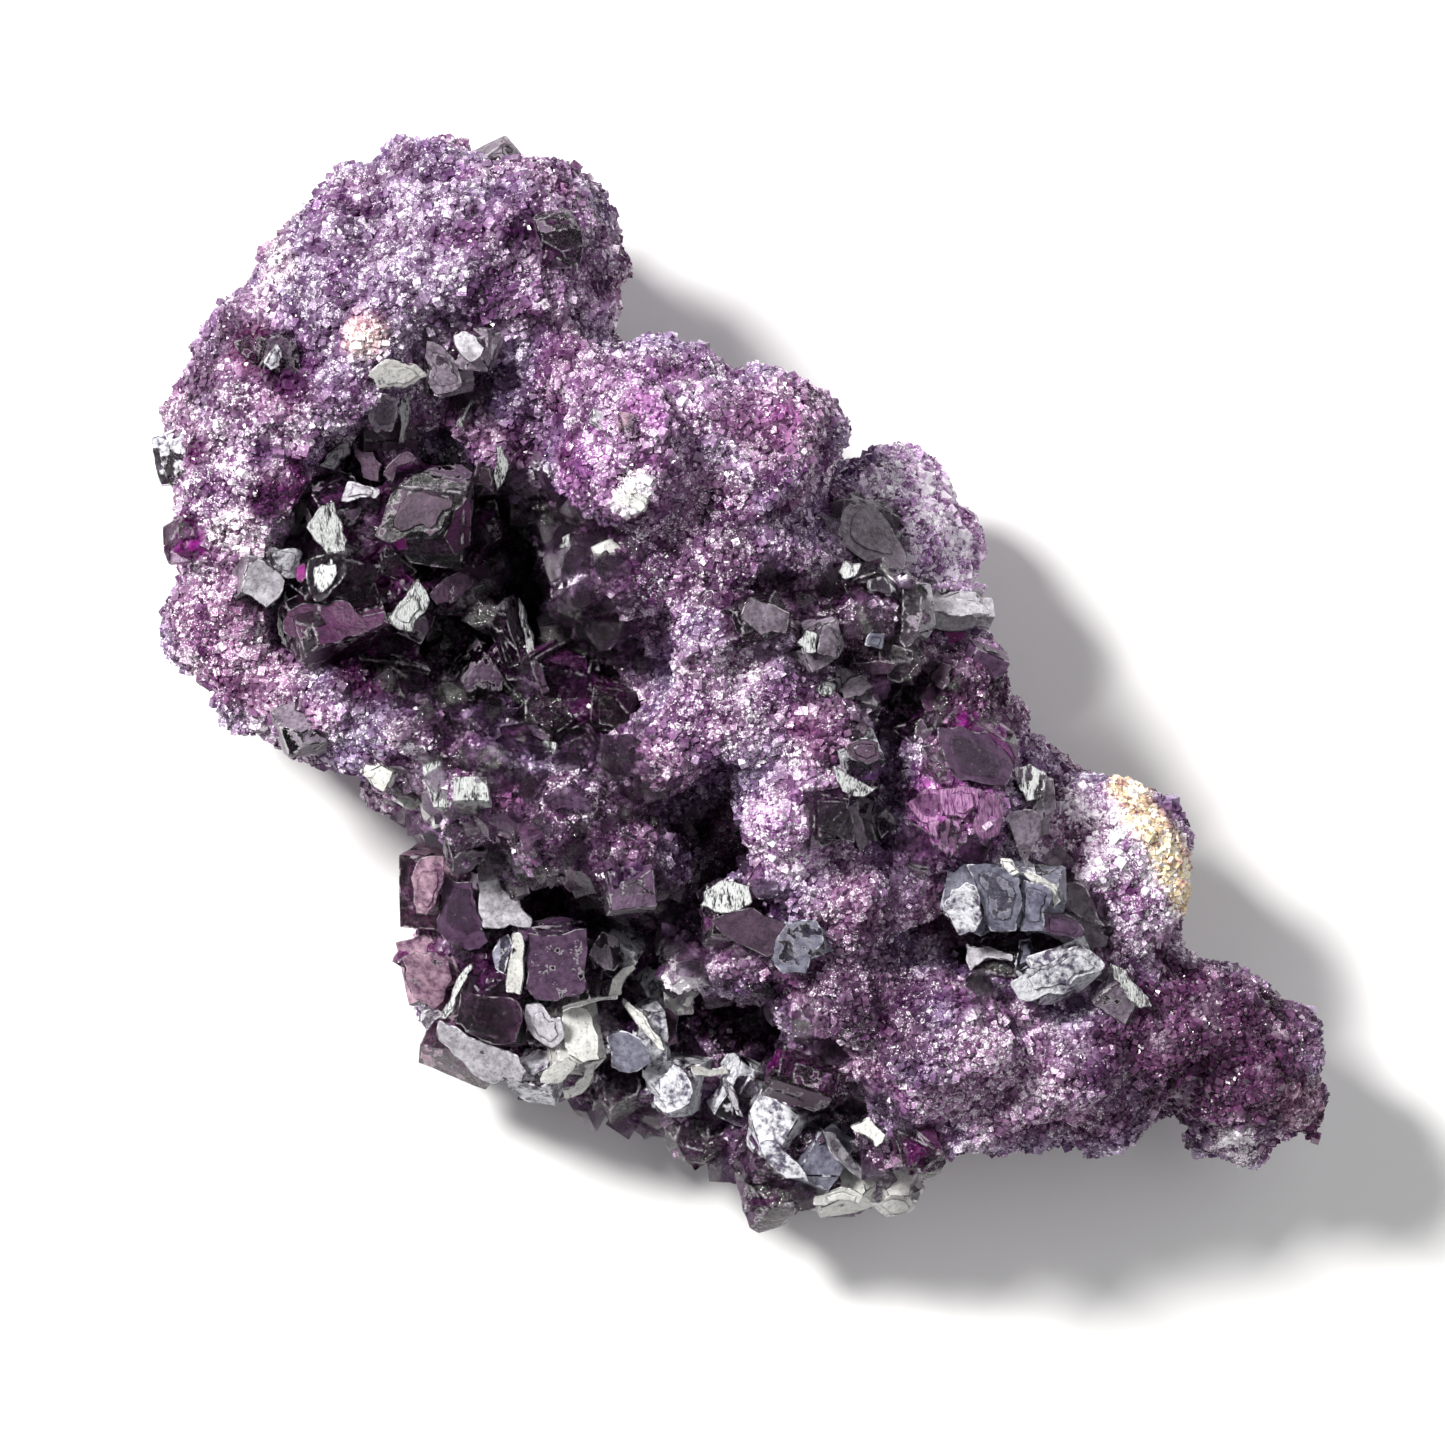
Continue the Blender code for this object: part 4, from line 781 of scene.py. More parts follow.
def grow_crystals(name, rows, facets, kind, seed):
    """All crystals and flat faces of one kind as one mesh in place."""
    chance = random.Random(seed)
    finish, frost_share, _, corners = KINDS[kind]
    whole = bmesh.new()
    whole.verts.layers.float.new("edge")
    whole.faces.layers.float.new("frost")
    whole.verts.layers.float.new("chance")
    for x, y, z, sides, turns, _ in rows:
        matrix = turned_frame((x, y, z), turns)
        own = chance.random()
        form = broken_block(sides, (0, 0, 0), chance, corners, 3)
        add_form(whole, dressed(form, chance, frost_share, 0.09), matrix, own)
        for _ in range(SMALLER_BLOCKS):
            smaller = [side * chance.uniform(0.3, 0.7) for side in sides]
            axis = chance.randrange(3)
            offset = [chance.uniform(-0.4, 0.4) * (side - small) for side, small in zip(sides, smaller)]
            offset[axis] = chance.choice((-1, 1)) * ((sides[axis] - smaller[axis]) / 2 + 0.05)
            form = broken_block(smaller, offset, chance, 2, 2)
            add_form(whole, dressed(form, chance, frost_share, 0.05), matrix, own)
    for thickness, outline, matrix in facets:
        own = chance.random()
        form = plate(outline, thickness, chance)
        add_form(whole, dressed(form, chance, frost_share, 0.07, 0.12), matrix, own)
        if chance.choice((False, False, False, True)):
            # A growth step: the same outline, smaller and a little higher
            to = middle_of(outline).lerp(chance.choice(outline), chance.uniform(0.1, 0.3))
            form = plate([to.lerp(spot, 0.68 * chance.uniform(0.9, 1.05)) for spot in outline], 0.4, chance)
            raised = matrix @ Matrix.Translation((0, 0, 0.10))
            add_form(whole, dressed(form, chance, frost_share, 0.05, 0.08, 0.45), raised, own)
    mesh = bpy.data.meshes.new(name)
    whole.to_mesh(mesh)
    whole.free()
    mesh.materials.append(finish)
    piece = bpy.data.objects.new(name, mesh)
    bpy.context.scene.collection.objects.link(piece)
    print(name, len(rows), "crystals,", len(facets), "flat faces,", len(mesh.polygons), "polygons")
    return piece


# %% [markdown]
# ## Lay the flat faces on the stone
# An outline has no height. The script sends a ray down at each of its corners, fits a plane through the
# places where the rays meet the CAD solids, and lays the plate along that plane.

# %% Lay the flat faces
STEEPEST = 0.6       # a flat face leans no more than this, rise over run
RAY_START = 0.1      # metres above the floor, well over the stone
cad_tree = {node_name: BVHTree.FromPolygons([v.co for v in node.data.vertices],
                                            [p.vertices for p in node.data.polygons])
            for node_name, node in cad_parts.items()}


def height_at(x, y):
    """The solids' upper height at a place, in mm, and the node that has it."""
    best = (0.0, "fluorite_mass")
    for node_name, tree in cad_tree.items():
        hit = tree.ray_cast(Vector((x * MM, y * MM, RAY_START)), Vector((0, 0, -1)))[0]
        if hit is not None:
            best = max(best, (hit.z / MM, node_name))
    return best


def laid_down(x_y, rise, lean):
    """Finds the plane of the stone under an outline. Returns the outline about its middle, and its place."""
    outline = [Vector(x_y[i:i + 2]) for i in range(0, len(x_y), 2)]
    middle = middle_of(outline)
    found = [(*(spot - middle), height_at(*spot)[0]) for spot in outline + [middle]]
    found = np.array([row for row in found if row[2] > 1])
    assert len(found) > 2, f"no stone under the outline at {middle}"
    fit = np.linalg.lstsq(np.column_stack([found[:, :2], np.ones(len(found))]), found[:, 2], rcond=None)[0]
    slope = np.clip(fit[:2], -STEEPEST, STEEPEST) + lean
    over = found[:, 2] - found[:, :2] @ slope - np.median(found[:, 2])
    height = np.median(found[:, 2]) + rise + min(0.8, 0.6 * over.max())
    # Shears the plate along the slope, so that seen from above its outline stays as drawn
    shear = Matrix.Identity(4)
    shear[2][0], shear[2][1] = slope
    return [spot - middle for spot in outline], Matrix.Translation((*middle, height)) @ shear


detail_rows, facet_rows = {}, {}
for x, y, rise, sides, turns, kind in DETAILS:
    height, node_name = height_at(x, y)
    assert height > 1, f"no stone under the shard at {x}, {y}"
    row = (x, y, height + rise - min(sides[2], 1.2) / 2, sides, turns, kind)
    detail_rows.setdefault((node_name, kind), []).append(row)
lean_chance = np.random.default_rng(3)
for kind, thickness, rise, *x_y in FACETS:
    outline, matrix = laid_down(x_y, rise, lean_chance.uniform(-0.14, 0.14, 2))
    node_name = height_at(*matrix.translation.xy)[1]
    facet_rows.setdefault((node_name, kind), []).append((thickness, outline, matrix))
crystal_pieces = []
for place_name, node_name, table in (("hollow", "hollow_crystals", HOLLOW_CRYSTALS),
                                     ("outer", "fluorite_mass", MASS_CRYSTALS)):
    for seed, kind in enumerate(KINDS):
        rows = [row for row in table if row[5] == kind] + detail_rows.get((node_name, kind), [])
        facets = facet_rows.get((node_name, kind), [])
        if rows or facets:
            crystal_pieces.append(grow_crystals(f"{place_name}_{kind}_crystals", rows, facets, kind, seed))

# %% [markdown]
# ## The body of the stone
# The visual skin starts as a copy of the CAD solid. A voxel remesh gives it an even net of small faces,
# smoothing takes away the CAD's flat facets, and two sizes of knobs press creases into it, as on the
# real coat. Where a large crystal stands, the skin is drawn in, so that the clear cube holds it as a core.

# %% Skin helpers
def copy_of(node, name):
    """A copy of a CAD node's mesh with its loose triangles joined."""
    form = bmesh.new()
    form.from_mesh(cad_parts[node].data)
    bmesh.ops.remove_doubles(form, verts=form.verts[:], dist=0.002 * MM)
    mesh = bpy.data.meshes.new(name)
    form.to_mesh(mesh)
    form.free()
    piece = bpy.data.objects.new(name, mesh)
    bpy.context.scene.collection.objects.link(piece)
    return piece


def made_plain(piece):
    """The piece's modifiers become its mesh."""
    bpy.context.view_layer.update()
    graph = bpy.context.evaluated_depsgraph_get()
    mesh = bpy.data.meshes.new_from_object(piece.evaluated_get(graph))
    piece.modifiers.clear()
    piece.data = mesh


def even_net(piece, voxel_mm, smoothing, *finishes):
    """Gives the piece an even net of small faces, rounds it, and puts its finishes on."""
    net = piece.modifiers.new("even_net", "REMESH")
    net.mode, net.voxel_size = "VOXEL", voxel_mm * MM
    smooth = piece.modifiers.new("rounding", "SMOOTH")
    smooth.iterations, smooth.factor = smoothing, 0.5
    made_plain(piece)
    piece.data.materials.clear()
    for finish in finishes:
        piece.data.materials.append(finish)
    return piece


def read_vectors(rows, field):
    flat = np.empty(len(rows) * 3)
    rows.foreach_get(field, flat)
    return flat.reshape(-1, 3)


def points_of(mesh):
    return read_vectors(mesh.vertices, "co")


def normals_of(mesh):
    return read_vectors(mesh.vertex_normals, "vector")


def set_points(mesh, points):
    mesh.vertices.foreach_set("co", points.ravel())
    mesh.update()


def fade(value, width):
    """0 below zero, 1 above width, and a straight line between."""
    return np.clip(value / width, 0, 1)


def crystal_size_at(points, row):
    """1 on the crystal's faces, less inside it; also the points in its own axes, its turn and its middle."""
    x, y, z, sides, turns, _ = row
    matrix = np.array(turned_frame((x, y, z), turns))
    centre = matrix[:3, 3] * MM
    local = (points - centre) @ matrix[:3, :3]
    return np.abs(local / (np.array(sides) * MM / 2)).max(axis=1), local, matrix[:3, :3], centre


def drawn_into(points, rows, keep=0.8, reach=1.3):
    """Pulls the points near a large crystal's faces to its inside."""
    for row in rows:
        size, local, turn, centre = crystal_size_at(points, row)
        close = size < reach
        share = np.interp(size[close], [0, 1.06, reach], [keep, keep, 1.0])
        points[close] = (local[close] * share[:, None]) @ turn.T + centre
    return points


def bumps(points, size_mm, seed):
    """A smooth bumpy field of about this size, from a few turned waves, about -1 to 1."""
    chance = np.random.default_rng(seed)
    field = np.zeros(len(points))
    for _ in range(10):
        direction = chance.normal(size=3)
        direction /= np.linalg.norm(direction)
        wave = 2 * math.pi / (size_mm * MM * chance.uniform(0.8, 1.5))
        field += np.sin(points @ direction * wave + chance.uniform(0, 6.3))
    return field / 4.5


def knobs(points, size_mm, seed):
    """Rounded knobs about this far apart: 1 on top of one, and down to 0 in the creases between."""
    table = np.random.default_rng(seed).random((64, 64, 64, 3))
    cells = points / (size_mm * MM)
    home = np.floor(cells).astype(int)
    nearest = np.full(len(points), 9.0)
    for step in itertools.product((-1, 0, 1), repeat=3):
        cell = home + step
        wrapped = cell % 64
        middle = cell + table[wrapped[:, 0], wrapped[:, 1], wrapped[:, 2]]
        nearest = np.minimum(nearest, ((cells - middle) ** 2).sum(axis=1))
    return 1 - np.clip(nearest, 0, 1)


# %% [markdown]
# ## Rounded knobs
# The skin is pushed in or out along its normals: knobs of two sizes, fine bumps, and two lumps at the back
# that reach a little further. The cut below stays flat, because no point near the floor is pushed.

# %% Skin
BIG_KNOBS, SMALL_KNOBS = (2.1, 1), (1.0, 2)      # how far apart they are in mm, and their seed
# Two lumps at the back reach a little further than the solid: x, y, z, radius and amount in mm
SWELLS = [(9.3, 7.6, 10.0, 5.8, 2.2), (19.0, -8.0, 11.0, 5.0, 1.0)]
STILL = 0.3 * MM     # below this height the knobs leave the skin as it is, so that the cut stays flat

skin = even_net(copy_of("fluorite_mass", "fluorite_skin"), 0.36, 3, coat, cut_base)
skin_points = points_of(skin.data)
push = 0.75 * (knobs(skin_points, *BIG_KNOBS) - 0.70) + 0.40 * (knobs(skin_points, *SMALL_KNOBS) - 0.70)
push += 0.10 * bumps(skin_points, 1.2, 3) - 0.10
for x, y, z, radius, amount in SWELLS:
    away = np.linalg.norm(skin_points / MM - (x, y, z), axis=1)
    push += amount * np.clip(1.4 * (1 - away / radius), 0, 1)
push[skin_points[:, 2] < STILL] = 0
moved = skin_points + normals_of(skin.data) * (push * MM)[:, None]
set_points(skin.data, drawn_into(moved, MASS_CRYSTALS))
for polygon in skin.data.polygons:
    polygon.material_index = int(polygon.center.z < STILL / 2 and polygon.normal.z < -0.9)
print("skin", len(skin.data.polygons), "faces")

floor_skin = even_net(copy_of("hollow_crystals", "hollow_floor"), 0.34, 2, coat)
set_points(floor_skin.data, drawn_into(points_of(floor_skin.data), HOLLOW_CRYSTALS))

# %% [markdown]
# ## The coat of small crystals
# A Geometry Nodes tree sows them: it scatters points that keep a least distance, stands a small crystal on
# each with its own turn and size, and stores a number on each that its finish uses to pick a shade. The
# same tree is used with another shape and other sizes for the medium crystals among the large ones.

# %% A tree that sows crystals
DENSEST = 4e7        # points per square metre: more than fit, so that the least distance decides
FULL_TURN = 6.283    # radians


def shape_object(name, form):
    mesh = bpy.data.meshes.new(name)
    form.to_mesh(mesh)
    form.free()
    return bpy.data.objects.new(name, mesh)


def chance_value(tree, seed, **limits):
    """A random number for each point, or a random vector where the limits are vectors."""
    kind, output = ("FLOAT_VECTOR", 0) if limits else ("FLOAT", 1)
    return add(tree, "FunctionNodeRandomValue", output, {"data_type": kind}, Seed=seed, **limits)


def sowing_tree():
    """Inputs: the ground mesh, how far apart and how large the crystals are, a seed, a shape and a finish."""
    tree = bpy.data.node_groups.new("sow_crystals", "GeometryNodeTree")
    for label, kind in (("Geometry", "Geometry"), ("Least distance", "Float"),
                        ("Smallest side", "Float"), ("Largest side", "Float"),
                        ("Seed", "Int"), ("Shape", "Object"), ("Finish", "Material")):
        tree.interface.new_socket(label, in_out="INPUT", socket_type="NodeSocket" + kind)
    tree.interface.new_socket("Geometry", in_out="OUTPUT", socket_type="NodeSocketGeometry")
    given = tree.nodes.new("NodeGroupInput").outputs
    smallest, largest = given["Smallest side"], given["Largest side"]
    where = add(tree, "GeometryNodeInputNamedAttribute", 0, {"data_type": "FLOAT"}, Name="sow")
    points = add(tree, "GeometryNodeDistributePointsOnFaces", "Points", {"distribute_method": "POISSON"},
                 Mesh=given["Geometry"], Distance_Min=given["Least distance"], Density_Max=DENSEST,
                 Density_Factor=where, Seed=given["Seed"])
    skewed = math_node(tree, "POWER", chance_value(tree, 3), 2.0)
    extra = math_node(tree, "SUBTRACT", largest, smallest)
    size = add(tree, "ShaderNodeMath", 0, {"operation": "MULTIPLY_ADD"}, _0=skewed, _1=extra, _2=smallest)
    proportions = chance_value(tree, 5, _0=(0.7,) * 3, _1=(1.35,) * 3)
    stood = add(tree, "GeometryNodeInstanceOnPoints", 0, Points=points,
                Instance=add(tree, "GeometryNodeObjectInfo", "Geometry", Object=given["Shape"]),
                Rotation=chance_value(tree, 0, _1=(FULL_TURN,) * 3),
                Scale=vector_math(tree, "SCALE", _0=proportions, Scale=size))
    marked = add(tree, "GeometryNodeStoreNamedAttribute", 0, {"data_type": "FLOAT", "domain": "INSTANCE"},
                 Geometry=stood, Name="chance", Value=chance_value(tree, 9))
    real = add(tree, "GeometryNodeRealizeInstances", 0, Geometry=marked)
    finished = add(tree, "GeometryNodeSetMaterial", 0, Geometry=real, Material=given["Finish"])
    tree.links.new(finished, tree.nodes.new("NodeGroupOutput").inputs["Geometry"])
    return tree


plain_form = bmesh.new()
bmesh.ops.create_cube(plain_form, size=1)
plain_cube = shape_object("plain_cube", plain_form)
broken_cube = shape_object("broken_cube", broken_block((1, 1, 1), (0, 0, 0), random.Random(4), 2))
grain_form = bmesh.new()
for top, bottom, middle in ((0, 0.70, 0.31), (0.70, 0, -0.31)):
    bmesh.ops.create_cone(grain_form, cap_ends=False, segments=3, radius1=bottom, radius2=top, depth=0.62,
                          matrix=Matrix.Translation((0, 0, middle)))
bmesh.ops.remove_doubles(grain_form, verts=grain_form.verts[:], dist=0.001)
bmesh.ops.recalc_face_normals(grain_form, faces=grain_form.faces[:])
grain_shape = shape_object("grain_shape", grain_form)
SOW = sowing_tree()
SOW_INPUTS = {item.name: item.identifier for item in SOW.interface.items_tree if item.in_out == "INPUT"}


def sow(name, ground, share, distance, smallest, largest, shape, finish, seed):
    """A piece of small crystals on the ground mesh. share says, for each vertex, how thickly to sow."""
    bed = bpy.data.objects.new(name, ground.data.copy())
    bpy.context.scene.collection.objects.link(bed)
    layer = bed.data.attributes.new("sow", "FLOAT", "POINT")
    layer.data.foreach_set("value", share.astype(np.float32))
    sower = bed.modifiers.new("sow", "NODES")
    sower.node_group = SOW
    for label, value in (("Least distance", distance * MM), ("Smallest side", smallest * MM),
                         ("Largest side", largest * MM), ("Seed", seed), ("Shape", shape),
                         ("Finish", finish)):
        sower[SOW_INPUTS[label]] = value
    made_plain(bed)
    print(name, len(bed.data.polygons) // len(shape.data.polygons), "crystals")
    return bed


# %% [markdown]
# ## Where each size of crystal grows
# Each vertex of the skin gets a share from 0 to 1, and the tree sows more thickly where it is higher. Fine
# crystals and grains grow everywhere, medium ones only in the coarse places, and none inside a large crystal.

# %% Where each size of crystal grows
# Where the photograph shows coarse crystals: x, y, radius, in mm
COARSE_SPOTS = [
    (4.5, 3.5, 4.6), (7.5, 0.0, 3.0), (-13.5, 15.0, 2.6), (-20.5, 6.0, 3.5), (-9.0, -13.0, 9.0),
    (-4.0, -19.0, 6.0), (2.0, -22.5, 6.0), (13.0, -12.0, 4.5), (-0.5, -10.5, 2.5), (1.0, -17.0, 3.0),
    (-12.5, 3.5, 8.0), (-14.5, -5.0, 3.0), (-10.0, -4.0, 3.5), (-6.0, -4.5, 3.0), (-8.0, -8.0, 3.0),
]
# The coat is cut into four pieces from left to right, so that none of them gets too heavy
STRIPS = ((-40, -13.5), (-13.5, -3.5), (-3.5, 6.5), (6.5, 40))


def near(points, spots):
    """1 near any of the spots, and 0 away from them."""
    share = np.zeros(len(points))
    for x, y, radius in spots:
        away = np.hypot(points[:, 0] / MM - x, points[:, 1] / MM - y)
        share = np.maximum(share, fade(radius - away, 0.35 * radius))
    return share


def outside_crystals(points, rows):
    """0 for the points that a large crystal covers, and 1 for the others."""
    share = np.ones(len(points))
    for row in rows:
        share[crystal_size_at(points, row)[0] < 1] = 0
    return share


ground = points_of(skin.data)
up = normals_of(skin.data)[:, 2]
free = outside_crystals(ground, MASS_CRYSTALS) * (ground[:, 2] > 0.7 * MM)
seen = fade(up + 0.45, 0.3)
coarse = near(ground, COARSE_SPOTS)
coat_pieces = []
for number, (left, right) in enumerate(STRIPS):
    here = (ground[:, 0] >= left * MM) & (ground[:, 0] < right * MM)
    share = free * here * (0.25 + 0.75 * seen) * (1 - 0.5 * coarse)
    coat_pieces += [
        sow(f"small_crystals_{number + 1}", skin, share, 0.35, 0.15, 0.44, plain_cube,
            small_crystal_finish, number),
        sow(f"small_grains_{number + 1}", skin, share * (0.3 + 0.7 * seen), 0.185, 0.12, 0.28, grain_shape,
            small_crystal_finish, 40 + number)]
painted_pieces = list(coat_pieces)
for seed, (kind, distance) in enumerate((("dark", 1.3), ("magenta", 2.0), ("silver", 1.9), ("grey", 2.2))):
    coat_pieces.append(sow(f"medium_{kind}_crystals", skin, free * coarse * (up > -0.3), distance, 0.5, 1.4,
                           broken_cube, KINDS[kind][0], 20 + seed))
hollow_free = outside_crystals(points_of(floor_skin.data), HOLLOW_CRYSTALS)
hollow_coat = [sow(f"hollow_small_{kind}_crystals", floor_skin, hollow_free, *sizes,
                   broken_cube, KINDS[kind][0], seed)
               for kind, seed, *sizes in (("dark", 30, 0.9, 0.6, 1.5), ("silver", 31, 2.2, 0.4, 1.1))]
for shape in (plain_cube, grain_shape, broken_cube):
    bpy.data.objects.remove(shape)

# %% [markdown]
# ## Painting the stone's colours and painted shade
# The same purple turns pink, grey, ochre or nearly black from place to place. Each row below names a place,
# how wide it is, its colour, and how many white grains and painted glints it has. Skin and small crystals get
# the same paint, so that a patch reads as one. The creases between the knobs get painted shade, darker than
# their tops, and a few rows paint shade into the hollow and the pits, and light onto a lump at the back.

# %% Paint
LILAC, MAUVE = (0.27, 0.22, 0.33), (0.30, 0.18, 0.28)
PATCHES = [
    # x, y, radius in mm, colour, extra white grains and painted glints
    (-17.0, 19.5, 6.5, (0.285, 0.225, 0.32), 0.02),
    (-8.5, 20.0, 3.6, (0.30, 0.20, 0.31), 0.0),
    (-24.5, 9.5, 5.0, (0.37, 0.27, 0.37), 0.08),
    (-26.0, 2.0, 3.5, (0.33, 0.19, 0.30), 0.05),
    (-6.0, 11.5, 5.5, (0.36, 0.235, 0.37), 0.03),
    (-8.3, 10.0, 2.2, (0.44, 0.23, 0.45), 0.06),
    (-4.9, 12.6, 1.3, (0.50, 0.26, 0.50), 0.0),
    (-5.4, 8.7, 1.2, (0.80, 0.79, 0.74), 0.45),
    (-9.9, 9.6, 1.0, (0.55, 0.52, 0.60), 0.30),
    (1.5, 12.3, 3.6, (0.31, 0.19, 0.30), 0.0),
    (1.8, 12.4, 1.3, (0.30, 0.10, 0.27), -0.03),
    (-18.2, 16.4, 1.2, (0.85, 0.74, 0.60), 0.10),
    (-22.6, 20.2, 1.4, (0.46, 0.42, 0.44), 0.10),
    # A pit on the left flank: its own deep magenta, darkened further with painted shade
    (-23.8, 16.2, 1.6, (0.10, 0.008, 0.07), -0.40),
    (-24.3, 7.0, 1.5, (0.45, 0.30, 0.40), 0.15),
    # Three more pits on the left flank: their own deep purple, darkened further with painted shade
    (-26.6, 11.2, 1.0, (0.09, 0.01, 0.08), -0.25),
    (-27.4, 7.4, 1.0, (0.12, 0.02, 0.10), -0.20),
    (-21.6, 9.6, 1.5, (0.12, 0.025, 0.11), -0.12),
    (-21.6, 14.0, 1.0, (0.10, 0.03, 0.10), -0.12),
    (-10.6, 21.0, 1.4, (0.07, 0.02, 0.08), -0.15),
    (-5.5, 4.5, 3.2, (0.27, 0.155, 0.27), 0.08),
    (-1.5, 5.8, 3.2, (0.17, 0.095, 0.17), -0.01),
    (-1.5, -0.8, 3.0, (0.43, 0.33, 0.43), 0.08),
    (5.0, 2.8, 4.2, (0.11, 0.065, 0.11), -0.06),
    # The lump at the back right: painted light, far paler than the coat around it, to make up for the shade
    # it stands in
    (9.0, 7.8, 4.6, (0.84, 0.73, 0.90), 0.16),
    (11.0, -0.2, 3.2, (0.12, 0.055, 0.11), -0.08),
    (9.4, -6.3, 2.9, (0.40, 0.14, 0.38), -0.02),
    (1.8, -7.0, 3.2, (0.52, 0.37, 0.53), 0.09),
    (-15.0, -4.0, 3.2, (0.31, 0.205, 0.31), 0.12),
    (-8.0, -6.8, 3.6, (0.19, 0.10, 0.185), 0.10),
    (6.0, -15.0, 3.6, (0.15, 0.09, 0.15), -0.03),
    (12.0, -19.0, 4.2, (0.36, 0.235, 0.35), 0.06),
    (17.8, -8.8, 4.6, (0.74, 0.68, 0.74), 0.20),
    (22.5, -18.0, 6.5, (0.10, 0.038, 0.09), -0.14),
    (27.0, -20.5, 1.9, (0.30, 0.17, 0.24), -0.05),
    (23.5, -22.6, 1.5, (0.55, 0.53, 0.54), 0.30),
    # The hollow: its own dark purple, darkened to near black with painted shade, and no white grains
    (-12.5, 4.0, 7.3, (0.022, 0.010, 0.024), -0.35),
    (-18.3, 0.7, 2.0, (0.06, 0.014, 0.055), -0.22),
    (-21.9, 3.0, 1.1, (0.07, 0.02, 0.07), -0.20),
    (-22.9, 8.2, 0.9, (0.08, 0.018, 0.08), -0.25),
    (-23.0, 10.8, 0.8, (0.15, 0.07, 0.17), -0.15),
    (-26.2, 14.6, 1.5, (0.13, 0.07, 0.13), -0.10),
    (-25.2, 16.9, 1.1, (0.09, 0.045, 0.09), -0.12),
    (-12.3, 17.6, 1.3, (0.13, 0.06, 0.14), -0.10),
    (-16.5, 25.0, 1.0, (0.13, 0.07, 0.14), -0.10),
    (8.2, -0.7, 1.1, (0.015, 0.006, 0.016), -0.60),
    (7.6, 1.6, 0.8, (0.02, 0.008, 0.02), -0.50),
    (5.4, -2.3, 0.8, (0.03, 0.008, 0.028), -0.40),
    (-2.5, -7.3, 1.3, (0.015, 0.007, 0.016), -0.60),
    (-9.0, -14.0, 8.5, (0.075, 0.035, 0.075), -0.15),
    (-6.0, -18.0, 3.5, (0.18, 0.17, 0.21), 0.0),
    (2.0, -22.5, 5.0, (0.10, 0.065, 0.10), -0.05),
    (12.8, -11.5, 3.2, (0.13, 0.11, 0.18), -0.05),
    (-9.4, 5.2, 1.9, (0.40, 0.33, 0.43), 0.16),
    (-2.4, -12.4, 1.9, (0.50, 0.38, 0.50), 0.12),
    (-3.3, -14.8, 1.4, (0.97, 0.96, 0.98), 0.45),
]
STAIN_COLOUR, STAIN_WHITES, STAIN_WIDTH = (1.0, 0.86, 0.42), 0.10, 0.9
STAIN_START, STAIN_END = np.array((18.2, -5.1)), np.array((21.2, -10.2))     # x, y in mm
LOWEST_SEEN = 9.0    # a patch off the solid's edge starts at this height, mm


def stain_distance(points):
    """How far each point is from the stain's line, seen from above, as a share of the stain's width."""
    along = STAIN_END - STAIN_START
    spot = points[:, :2] / MM - STAIN_START
    part = np.clip(spot @ along / (along @ along), 0, 1)
    return np.linalg.norm(spot - part[:, None] * along, axis=1) / STAIN_WIDTH


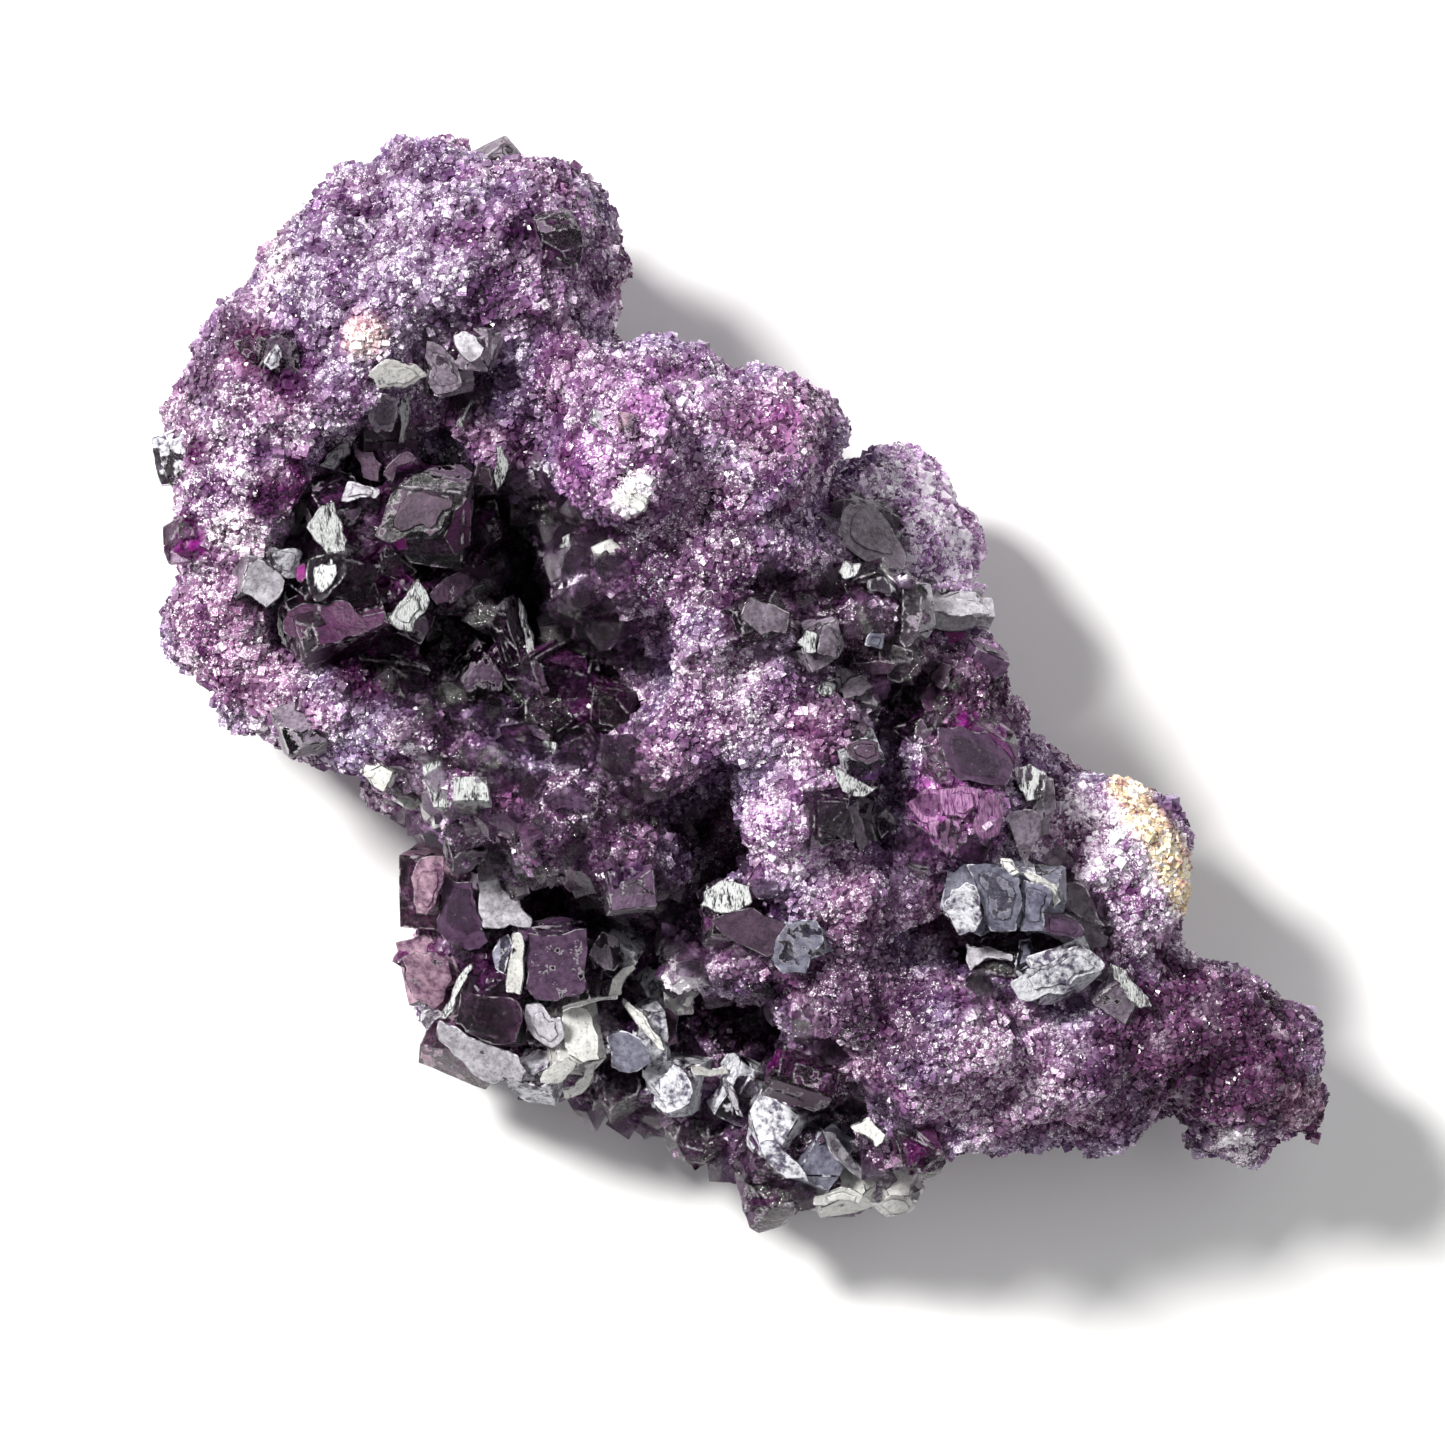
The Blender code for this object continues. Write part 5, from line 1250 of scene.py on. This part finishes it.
def paint(piece, rows=()):
    """Stores the body colour, with its painted shade, and the share of white grains and painted glints of
    each vertex. The rows are the crystals it lines inside.
    """
    points = points_of(piece.data)

    def tint(target, share):
        nonlocal colour
        colour = colour + (target - colour) * share[:, None]

    colour = np.tile(np.array(LILAC), (len(points), 1))
    tint(np.array(MAUVE), np.clip(0.5 + 0.8 * bumps(points, 5.0, 20), 0, 1))
    whites_and_glints = 0.05 * bumps(points, 3.0, 22)
    wobble = bumps(points, 2.0, 21) * 0.22
    for x, y, radius, own, whites in PATCHES:
        # A patch starts on the surface that the camera sees there, and fades out further down the flank
        aside = np.hypot(points[:, 0] / MM - x, points[:, 1] / MM - y)
        below = np.clip(max(height_at(x, y)[0], LOWEST_SEEN) - points[:, 2] / MM, 0, None)
        share = fade(1.1 - np.hypot(aside, 0.7 * below) / radius - wobble, 0.5)
        tint(np.array(own), share)
        whites_and_glints += (whites - whites_and_glints) * share
    deep = fade(bumps(points, 3.4, 24) - 0.15, 0.4) * 0.65
    tint(colour * (0.42, 0.20, 0.46), deep)
    pale = fade(bumps(points, 2.6, 25) - 0.35, 0.4) * 0.5
    tint(colour * 0.6 + (0.25, 0.23, 0.25), pale)
    whites_and_glints += 0.05 * pale - 0.05 * deep
    colour = colour * (1 + 0.30 * bumps(points, 1.7, 23) + 0.14 * bumps(points, 0.8, 26))[:, None]
    # Painted shade: the creases between the knobs get darker and more purple, with fewer white grains and
    # glints
    painted_crease_shade = np.maximum(fade(0.74 - knobs(points, *BIG_KNOBS), 0.5) * 0.85,
                        fade(0.64 - knobs(points, *SMALL_KNOBS), 0.5) * 0.6)
    tint(colour * (0.30, 0.08, 0.27), painted_crease_shade)
    whites_and_glints -= 0.22 * painted_crease_shade
    share = fade(1.2 - stain_distance(points) - wobble, 0.5)
    tint(np.array(STAIN_COLOUR), share)
    whites_and_glints += (STAIN_WHITES - whites_and_glints) * share
    for row in rows:
        core = crystal_size_at(points, row)[0] < 0.98
        colour[core] = np.array(KINDS[row[5]][2]) * (1 + 0.6 * bumps(points[core], 1.5, 27))[:, None]
        whites_and_glints[core] = -0.6
    rgba = np.hstack([np.clip(colour, 0.003, 0.9), np.ones((len(points), 1))])
    layer = piece.data.attributes.new("body", "FLOAT_COLOR", "POINT")
    layer.data.foreach_set("color", rgba.ravel().astype(np.float32))
    layer = piece.data.attributes.new("whites_and_glints", "FLOAT", "POINT")
    layer.data.foreach_set("value", whites_and_glints.astype(np.float32))


paint(skin, MASS_CRYSTALS)
paint(floor_skin, HOLLOW_CRYSTALS)
for piece in painted_pieces:
    paint(piece)
print("painted", 2 + len(painted_pieces), "pieces with", len(PATCHES), "patches")

# %% [markdown]
# ## Onto one body
# No point may leave the CAD's box, so each piece is held inside it. Then every piece rides on the one body,
# and the CAD solid that it stands in for is hidden.

# %% Onto one body
outer = [skin, *[p for p in crystal_pieces if p.name.startswith("outer")], *coat_pieces]
hollow_pieces = [floor_skin, *[p for p in crystal_pieces if p.name.startswith("hollow")], *hollow_coat]
lowest, highest = np.array(cad_box[0]), np.array(cad_box[1])
for pieces, node_name, slot in ((outer, "fluorite_mass", "purple_druse"),
                                (hollow_pieces, "hollow_crystals", "dark_fluorite")):
    for piece in pieces:
        set_points(piece.data, np.clip(points_of(piece.data), lowest, highest))
        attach(piece, "root")
        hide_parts(node_name)
